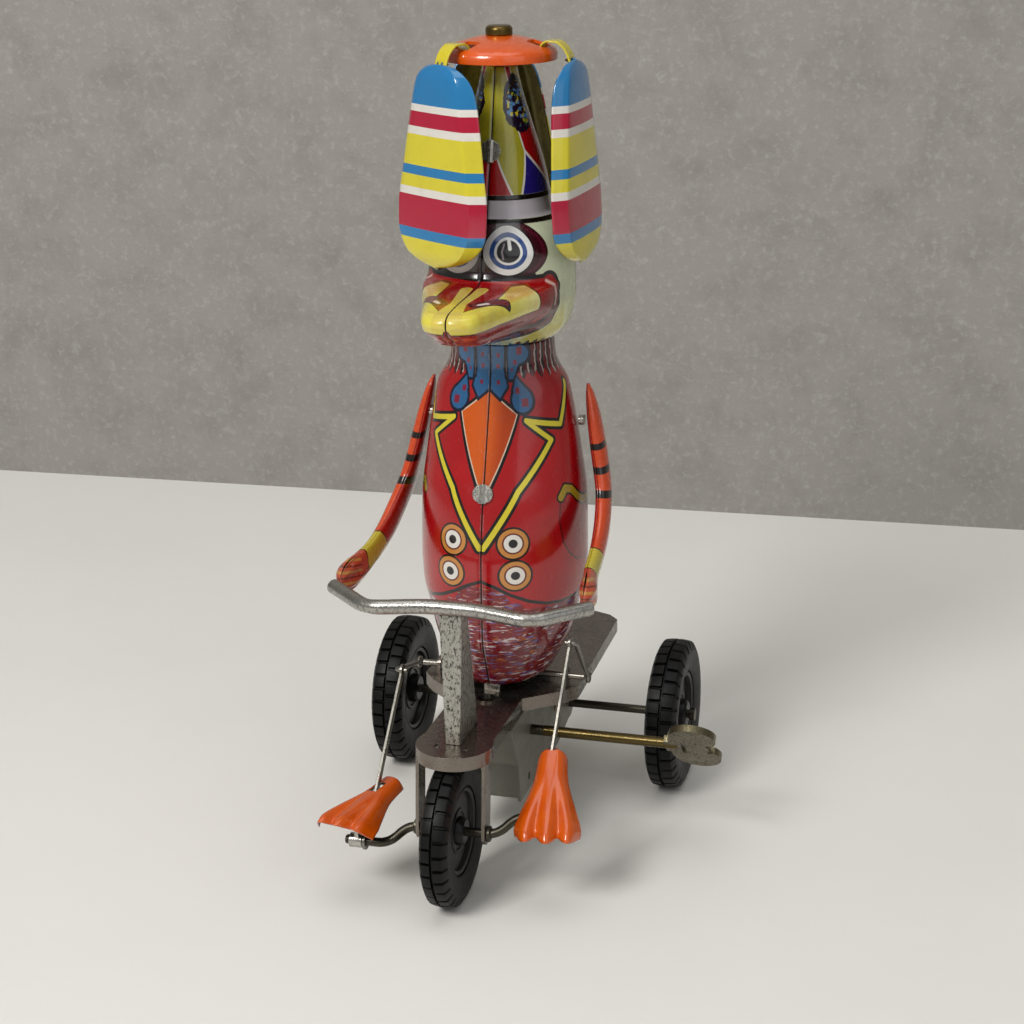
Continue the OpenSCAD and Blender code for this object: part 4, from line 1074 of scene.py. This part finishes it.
# end, side, body, x, y, radius (and axle height), width, bead radius, boss radius, tread blocks
WHEELS = [
    ("front", "", "pedal_crank", 0, FRONT_Y, FRONT_RADIUS, 7.0, 10.8, 3.2, 32),
    ("rear", "_left", "rear_wheels", REAR_X, 0, REAR_RADIUS, 8.4, 11.4, 3.6, 34),
    ("rear", "_right", "rear_wheels", -REAR_X, 0, REAR_RADIUS, 8.4, 11.4, 3.6, 34),
]
TREAD = 0.56                # share of the section that is tread; the rest is sidewall
GROOVE = 0.20               # share of a tread block's pitch that is groove


def tyre_point(u, turn, radius, width, bead):
    """x and radius at u (-1 to 1 across the section) after so many blocks of turn."""
    block = (turn + (0.5 if u > 0 else 0.0)) % 1.0
    if abs(u) < TREAD:
        s = u / TREAD
        depth = 0.0
        if abs(s) < 0.10:
            depth = 0.75
        elif block < GROOVE:
            depth = 0.85 * min(1, min(block, 1 - block, abs(block - GROOVE)) / 0.03)
        return s * (width / 2 - 1.0), radius - 0.35 * s * s - depth
    s = (abs(u) - TREAD) / 0.44
    if s < 0.35:
        x = width / 2 - 1.0 + math.sin(s / 0.35 * math.pi / 2)
    else:
        x = width / 2 - 0.9 * ((s - 0.35) / 0.65) ** 2.2
    r = radius - 0.35 - s * (radius - 0.35 - bead)
    if s < 0.26 and block < GROOVE:
        r -= 0.75 * (1 - s / 0.26)
        x -= 0.5 * (s / 0.26)
    # raised rings on the sidewall
    x += 0.14 * math.exp(-hump(s, 0.55, 0.03)) + 0.18 * math.exp(-hump(s, 0.86, 0.03))
    return math.copysign(min(x, width / 2), u), r


for end, side, body, x, y, radius, width, bead, boss, blocks in WHEELS:
    steps, rows = 480, 46
    points = []
    for k in range(steps):
        a = 2 * math.pi * k / steps
        for u in np.linspace(-1, 1, rows):
            dx, r = tyre_point(u, k / steps * blocks, radius, width, bead)
            points.append((x + dx, y + r * math.cos(a), radius + r * math.sin(a)))
    mesh_object(f"{end}_tyre_rubber{side}", points,
                grid_faces(steps, rows, wrap=True, close=True), body, f"{end}_tyre{side}",
                ["tyre"], sharp=40)

for end, side, body, x, y, radius, width, bead, boss, blocks in WHEELS:
    bore, outer, half = 1.1, bead - 0.02, width / 2
    profile = [     # radius, x
        (bore, -half + 0.3), (boss - 0.5, -half + 0.3), (boss, -half + 0.8),
        (boss + 0.3, -half*0.40), (boss + 1.2, -half*0.36), (boss + 1.5, -half*0.46),
        (boss + 2.0, -half*0.46), (boss + 2.3, -half*0.36), (outer - 1.7, -half*0.40),
        (outer - 1.3, -half + 1.3), (outer - 0.6, -half + 1.0), (outer, -half + 1.3)]
    profile += [(r, -dx) for r, dx in profile[::-1]]
    points, faces = lathe(profile, 96, (x, y, radius))
    mesh_object(f"{end}_hub_disc{side}", points, faces, body, f"{end}_hub{side}", ["hub"], sharp=32)

# ---------------------------------------------------------------- crank
CRANK_OFFSET = 5.1 * math.cos(math.radians(45))
PEDAL_LEFT = np.array([FRONT_Y + CRANK_OFFSET, FRONT_RADIUS + CRANK_OFFSET])      # y, z
PEDAL_RIGHT = np.array([FRONT_Y - CRANK_OFFSET, FRONT_RADIUS - CRANK_OFFSET])
CRANK_RADIUS = 1.1
COLLAR = [(CRANK_RADIUS, 8.6), (1.9, 8.6), (1.9, 9.2), (1.6, 9.4), (CRANK_RADIUS, 9.4)]
axle_middle = (0, FRONT_Y, FRONT_RADIUS)
crank_path = [(-25.3, *PEDAL_RIGHT), (-15.0, *PEDAL_RIGHT), (-10.8, *axle_middle[1:]),
              axle_middle, (10.8, *axle_middle[1:]), (15.0, *PEDAL_LEFT), (25.3, *PEDAL_LEFT)]
points, faces = join(tube(rounded_path(crank_path, 12, 0.42), CRANK_RADIUS, 24),
                     lathe(COLLAR, 40, axle_middle),
                     lathe([(r, -x) for r, x in COLLAR], 40, axle_middle))
mesh_object("crank_wire", points, faces, "pedal_crank", ["crank_axle"][0], ["axle_steel"])

# ---------------------------------------------------------------- webbed feet
FOOT_LENGTH = 24.6
PEDAL_AHEAD = 17            # from the pedal back to the heel
# share of the way from heel to toe, half width
FOOT_WIDTH = [(0, 0.9), (0.01, 1.9), (0.03, 2.7), (0.06, 3.2), (0.12, 3.5), (0.22, 3.7),
              (0.35, 4.1), (0.5, 5.1), (0.62, 6.1), (0.74, 7.0), (0.84, 7.7), (0.92, 7.9), (1, 7.7)]


def foot(side, pedal, x, pitch, yaw, lift, slot_x, slot_along):
    """Foot over a pedal, with a slot between two x values and two distances from the heel."""
    start, end = slot_along
    shares = np.unique(np.concatenate([
        np.linspace(0, 0.08, 12), np.linspace(0.08, 1, 60),
        [start / FOOT_LENGTH, end / FOOT_LENGTH]]))
    across = -np.linspace(-1, 1, 61)
    rows, cols = len(shares), len(across)
    grid = np.zeros((rows, cols, 3))
    cos_p, sin_p = math.cos(math.radians(pitch)), math.sin(math.radians(pitch))
    cos_y, sin_y = math.cos(math.radians(yaw)), math.sin(math.radians(yaw))
    for i, s in enumerate(shares):
        width = float(curve(FOOT_WIDTH, s))
        for j, u in enumerate(across):
            toe = 0.5 + 0.5 * math.cos(u * math.pi * 3)     # 1 on a toe, 0 on the web
            rib = (max(0, (s - 0.3) / 0.7) ** 1.3 * 1.35 * toe ** 0.8
                   - max(0, (s - 0.45) / 0.55) * 0.45 * (1 - toe) ** 2)
            tip = s ** 6 * (1.9 * toe ** 0.7 - 1.6 * u * u - 0.5 * (1 - toe) ** 3)
            dx = width * u
            dy = PEDAL_AHEAD - (FOOT_LENGTH * s + tip)
            dz = lift - 2.6 * abs(u) ** 3.2 - 0.9 * s * s + rib
            if s < 0.06:
                dz -= (0.06 - s) * 24
            if s > 0.9:
                dz -= ((s - 0.9) * 10) ** 2 * 0.9
            dy, dz = dy * cos_p - dz * sin_p, dy * sin_p + dz * cos_p
            dx, dy = dx * cos_y - dy * sin_y, dx * sin_y + dy * cos_y
            grid[i, j] = (x + dx, pedal[0] + dy, pedal[1] + dz)

    def in_slot(i, j):
        s = (shares[i] + shares[i + 1]) / 2
        mid_x = (across[j] + across[j + 1]) / 2 * float(curve(FOOT_WIDTH, s))
        return start < FOOT_LENGTH * s < end and slot_x[0] < mid_x < slot_x[1]

    faces = [face for n, face in enumerate(grid_faces(rows, cols))
             if not in_slot(*divmod(n, cols - 1))]
    obj = mesh_object("webbed_foot_" + side, grid, faces, "leg_" + side, "foot_" + side,
                      ["foot_orange", "foot_underside"], sharp=60)
    thicken(obj, 0.35, lined=True)


foot("left", PEDAL_LEFT, x=22.6, pitch=35, yaw=9, lift=6.0,
     slot_x=(-1.1, 0.7), slot_along=(0, 1.6))
foot("right", PEDAL_RIGHT, x=-22.2, pitch=4, yaw=-14, lift=9.4,
     slot_x=(-1.9, 0.45), slot_along=(4.3, 9.3))

# ---------------------------------------------------------------- legs
HIP = np.array([-33, 41.2])         # y, z
THIGH, SHANK = 19, 44
THIGH_X, KNEE_X = 22.0, 19.35


def knee(pedal):
    """y and z where the thigh from the hip meets the shank from the pedal."""
    reach = pedal - HIP
    length = np.linalg.norm(reach)
    unit = reach / length
    along = (THIGH * THIGH - SHANK * SHANK + length * length) / (2 * length)
    rise = math.sqrt(THIGH * THIGH - along * along)
    return HIP + along * unit + rise * np.array([unit[1], -unit[0]])


for (side, sign), pedal in zip(SIDES, (PEDAL_LEFT, PEDAL_RIGHT)):
    bend, x = knee(pedal), sign * THIGH_X
    wire = rounded_path([(sign * KNEE_X, *bend), (x, *bend), (x, *HIP)], 10, 0.35)
    turn = np.linspace(0, 2 * math.pi, 30)
    hip_eye = np.stack([np.full(30, x), HIP[0] + np.cos(turn), HIP[1] + np.sin(turn)], 1)
    points, faces = join(tube(wire, 0.6, 16), tube(hip_eye, 0.5, 12, ends=False))
    mesh_object("thigh_wire_" + side, points, faces, "thigh_" + side, "thigh_" + side,
                ["leg_steel"])
    copy_parts("leg_" + side,
               ("shank_" + side, "shank_strip_" + side, "leg_steel", 0.1),
               ("pedal_clip_" + side, "pedal_sleeve_" + side, "clip_steel", 0.12))

# ---------------------------------------------------------------- frame and motor
copy_parts("chassis",
           ("frame_plate", "plate_stamping", "plate_steel", 0.34),
           ("steering_column", "post", "post_steel", 0.22))

BAR_BEND_X = 19.5
BAR = [(-31.1, -68.9, 73.4), (-BAR_BEND_X, -79.3, 72.9), (-6, -76.6, 73.4),
       (6, -76.6, 73.4), (BAR_BEND_X, -79.3, 72.9), (31.1, -68.9, 73.4)]
bar_path = rounded_path(BAR, 14, 0.28)
# the bar thins a little at its outer bends
bar_radii = 1.76 - 0.14 * np.exp(-hump(np.abs(bar_path[:, 0]), BAR_BEND_X, 1.4))
points, faces = tube(bar_path, bar_radii, 28)
mesh_object("bar_tube", points, faces, "chassis", "handlebar", ["bar_steel"])

for node in ("motor_plate_left", "motor_plate_right", "motor_cover", "motor_pillars"):
    copy_part(node, node + "_v", "chassis", "motor_steel", edge=0.12)
copy_parts("chassis",
           ("mainspring", "spring_coil", "spring_steel", 0.08),
           ("hip_pin", "hip_rod", "leg_steel", 0.15))


def seam_clip(name, node, y, z, tilt, half_height, half_width=2.5):
    """Folded clip over the front seam: two round ears and a raised roll between them."""
    rows, cols = 26, 40
    cos, sin = math.cos(math.radians(tilt)), math.sin(math.radians(tilt))
    points = []
    for v in np.linspace(-1, 1, rows):
        for u in np.linspace(-1, 1, cols):
            a = abs(u)
            limit = 1.0
            if a >= 0.35:
                limit = math.sqrt(max(0.02, 1 - ((a - 0.35) / 0.65) ** 2)) * 0.86
            roll = (0.34 * math.exp(-(a / 0.20) ** 4) - 0.25 * math.exp(-(u / 0.05) ** 2)
                    + 0.10 * (1 - a))
            dy, dz = 0.10 * a * a - roll, v * limit * half_height
            points.append((u * half_width, y + dy * cos + dz * sin, z + dz * cos - dy * sin))
    obj = mesh_object(name, points, grid_faces(rows, cols), "chassis", node, ["clip_steel"],
                      sharp=50)
    thicken(obj, 0.3)


seam_clip("body_clip_fold", "body_seam_clip", y=AXIS_Y - 19.72, z=92.4, tilt=17, half_height=2.3)
seam_clip("hat_clip_fold", "hat_seam_clip", y=AXIS_Y - 9.0, z=172.3, tilt=13, half_height=2.6)
copy_parts("chassis",
           ("body_tabs", "bottom_tabs", "clip_steel", 0.1),
           ("shoulder_rivet_left", "rivet_left", "clip_steel", 0.15),
           ("shoulder_rivet_right", "rivet_right", "clip_steel", 0.15),
           ("spindle_bush_lower", "bush_lower", "brass", 0.12),
           ("spindle_bush_upper", "bush_upper", "brass", 0.15))
copy_parts("rear_wheels",
           ("rear_axle", "rear_axle_rod", "axle_steel", 0.15),
           ("axle_gear", "driven_gear", "brass", 0))
copy_parts("second_arbor",
           ("second_arbor", "second_arbor_v", "brass", 0),
           ("contrate_wheel", "crown_gear", "brass", 0))
copy_parts("idler", ("idler_gear", "idler_v", "brass", 0))
copy_parts("winding",
           ("winding_arbor", "winding_arbor_v", "axle_steel", 0.1),
           ("great_wheel", "great_wheel_v", "brass", 0),
           ("key_shaft", "key_tube", "key_shaft_brass", 0.15),
           ("key_wing", "key_wings", "key_plate", 0.3))
copy_parts("hat", ("spindle", "hat_spindle", "axle_steel", 0))


# ---------------------------------------------------------------- stage, in metres
STAGE_LEFT, STAGE_RIGHT = -2.2713, 2.113
WALL_Y_LEFT, WALL_Y_RIGHT = 0.1243, 0.3251
STAGE_TOP = 2.2


def floor_paint():
    mat = Paint("floor_pale", (232, 230, 226), rough=0.5, spec=0.3, tone=PLAIN_TONE)
    mat.mottle((190, 188, 184), scale=0.012, detail=4.0, rough=0.6,
               level=0.45, gain=2.0, amount=0.12)
    mat.finish()


def wall_paint():
    mat = Paint("wall_grey", (150, 147, 142), rough=0.85, spec=0.25, tone=PLAIN_TONE)
    mat.mottle((120, 117, 112), scale=0.05, detail=6.0, rough=0.7, level=0.45, gain=3.0, amount=0.6)
    fine = mat.noise(0.4, detail=5.0, rough=0.7, seed=2.0)
    mat.lay((176, 174, 170), fine.above(0.52, 6.0) * 0.45)
    mat.bump(fine, strength=0.4, depth=1.0)
    mat.finish()
    # seen only from the room side
    nodes = mat.tree.nodes
    geometry = nodes.new("ShaderNodeNewGeometry")
    clear = nodes.new("ShaderNodeBsdfTransparent")
    mixer = nodes.new("ShaderNodeMixShader")
    mat.link(geometry.outputs["Backfacing"], mixer.inputs[0])
    mat.link(mat.shader.outputs[0], mixer.inputs[1])
    mat.link(clear.outputs[0], mixer.inputs[2])
    mat.link(mixer.outputs[0], nodes["Material Output"].inputs["Surface"])


def stage_plane(name, corners, material):
    mesh = bpy.data.meshes.new(name)
    mesh.from_pydata(corners, [], [(0, 1, 2, 3)])
    mesh.update()
    mesh.materials.append(MATERIALS[material])
    add_object(name, mesh)


floor_paint()
stage_plane("floor", [(STAGE_LEFT, -1.6, 0), (STAGE_RIGHT, -1.6, 0),
                      (STAGE_RIGHT, 2.2, 0), (STAGE_LEFT, 2.2, 0)], "floor_pale")
wall_paint()
stage_plane("backdrop", [(STAGE_LEFT, WALL_Y_LEFT, 0), (STAGE_RIGHT, WALL_Y_RIGHT, 0),
                         (STAGE_RIGHT, WALL_Y_RIGHT, STAGE_TOP),
                         (STAGE_LEFT, WALL_Y_LEFT, STAGE_TOP)], "wall_grey")


def area_light(name, place, target, size, power, color=(1, 1, 1)):
    light = bpy.data.lights.new(name, "AREA")
    light.energy = power
    light.size = size
    light.color = color
    obj = add_object(name, light)
    obj.location = place
    aim = Vector(target) - Vector(place)
    obj.rotation_euler = aim.to_track_quat("-Z", "Y").to_euler()


area_light("key", (-0.37, -0.96, 0.93), target=(0, -0.03, 0.09), size=0.40, power=11.5,
           color=(1.0, 0.985, 0.95))
area_light("fill", (0.9, -0.9, 0.8), target=(0, -0.03, 0.09), size=1.0, power=2.2,
           color=(0.95, 0.97, 1.0))
area_light("top", (0.0, -0.1, 1.5), target=(0, -0.03, 0.1), size=1.2, power=6.8)

scene = bpy.context.scene
scene.world = bpy.data.worlds.new("w")
scene.world.use_nodes = True
background = scene.world.node_tree.nodes["Background"].inputs
background["Color"].default_value = (1.0, 1.0, 0.96, 1)
background["Strength"].default_value = 0.25
scene.view_settings.view_transform = "Standard"
scene.view_settings.look = "None"

# ---------------------------------------------------------------- camera
YAW, PITCH, ROLL = -0.273, -0.316, -0.012       # radians; yaw 0 looks along +Y
forward = Vector((math.sin(YAW) * math.cos(PITCH), math.cos(YAW) * math.cos(PITCH),
                  math.sin(PITCH)))
level = Vector((math.cos(YAW), -math.sin(YAW), 0))
upright = level.cross(forward)
right = level * math.cos(ROLL) + upright * math.sin(ROLL)
up = -level * math.sin(ROLL) + upright * math.cos(ROLL)
camera = bpy.data.cameras.new("cam")
camera.sensor_width = 36
camera.lens = 79.48951172
camera.clip_start = 0.01
camera_object = add_object("cam", camera)
pose = Matrix((right, up, -forward)).transposed().to_4x4()
pose.translation = (0.144866, -0.540661, 0.25535)
camera_object.matrix_world = pose
scene.camera = camera_object
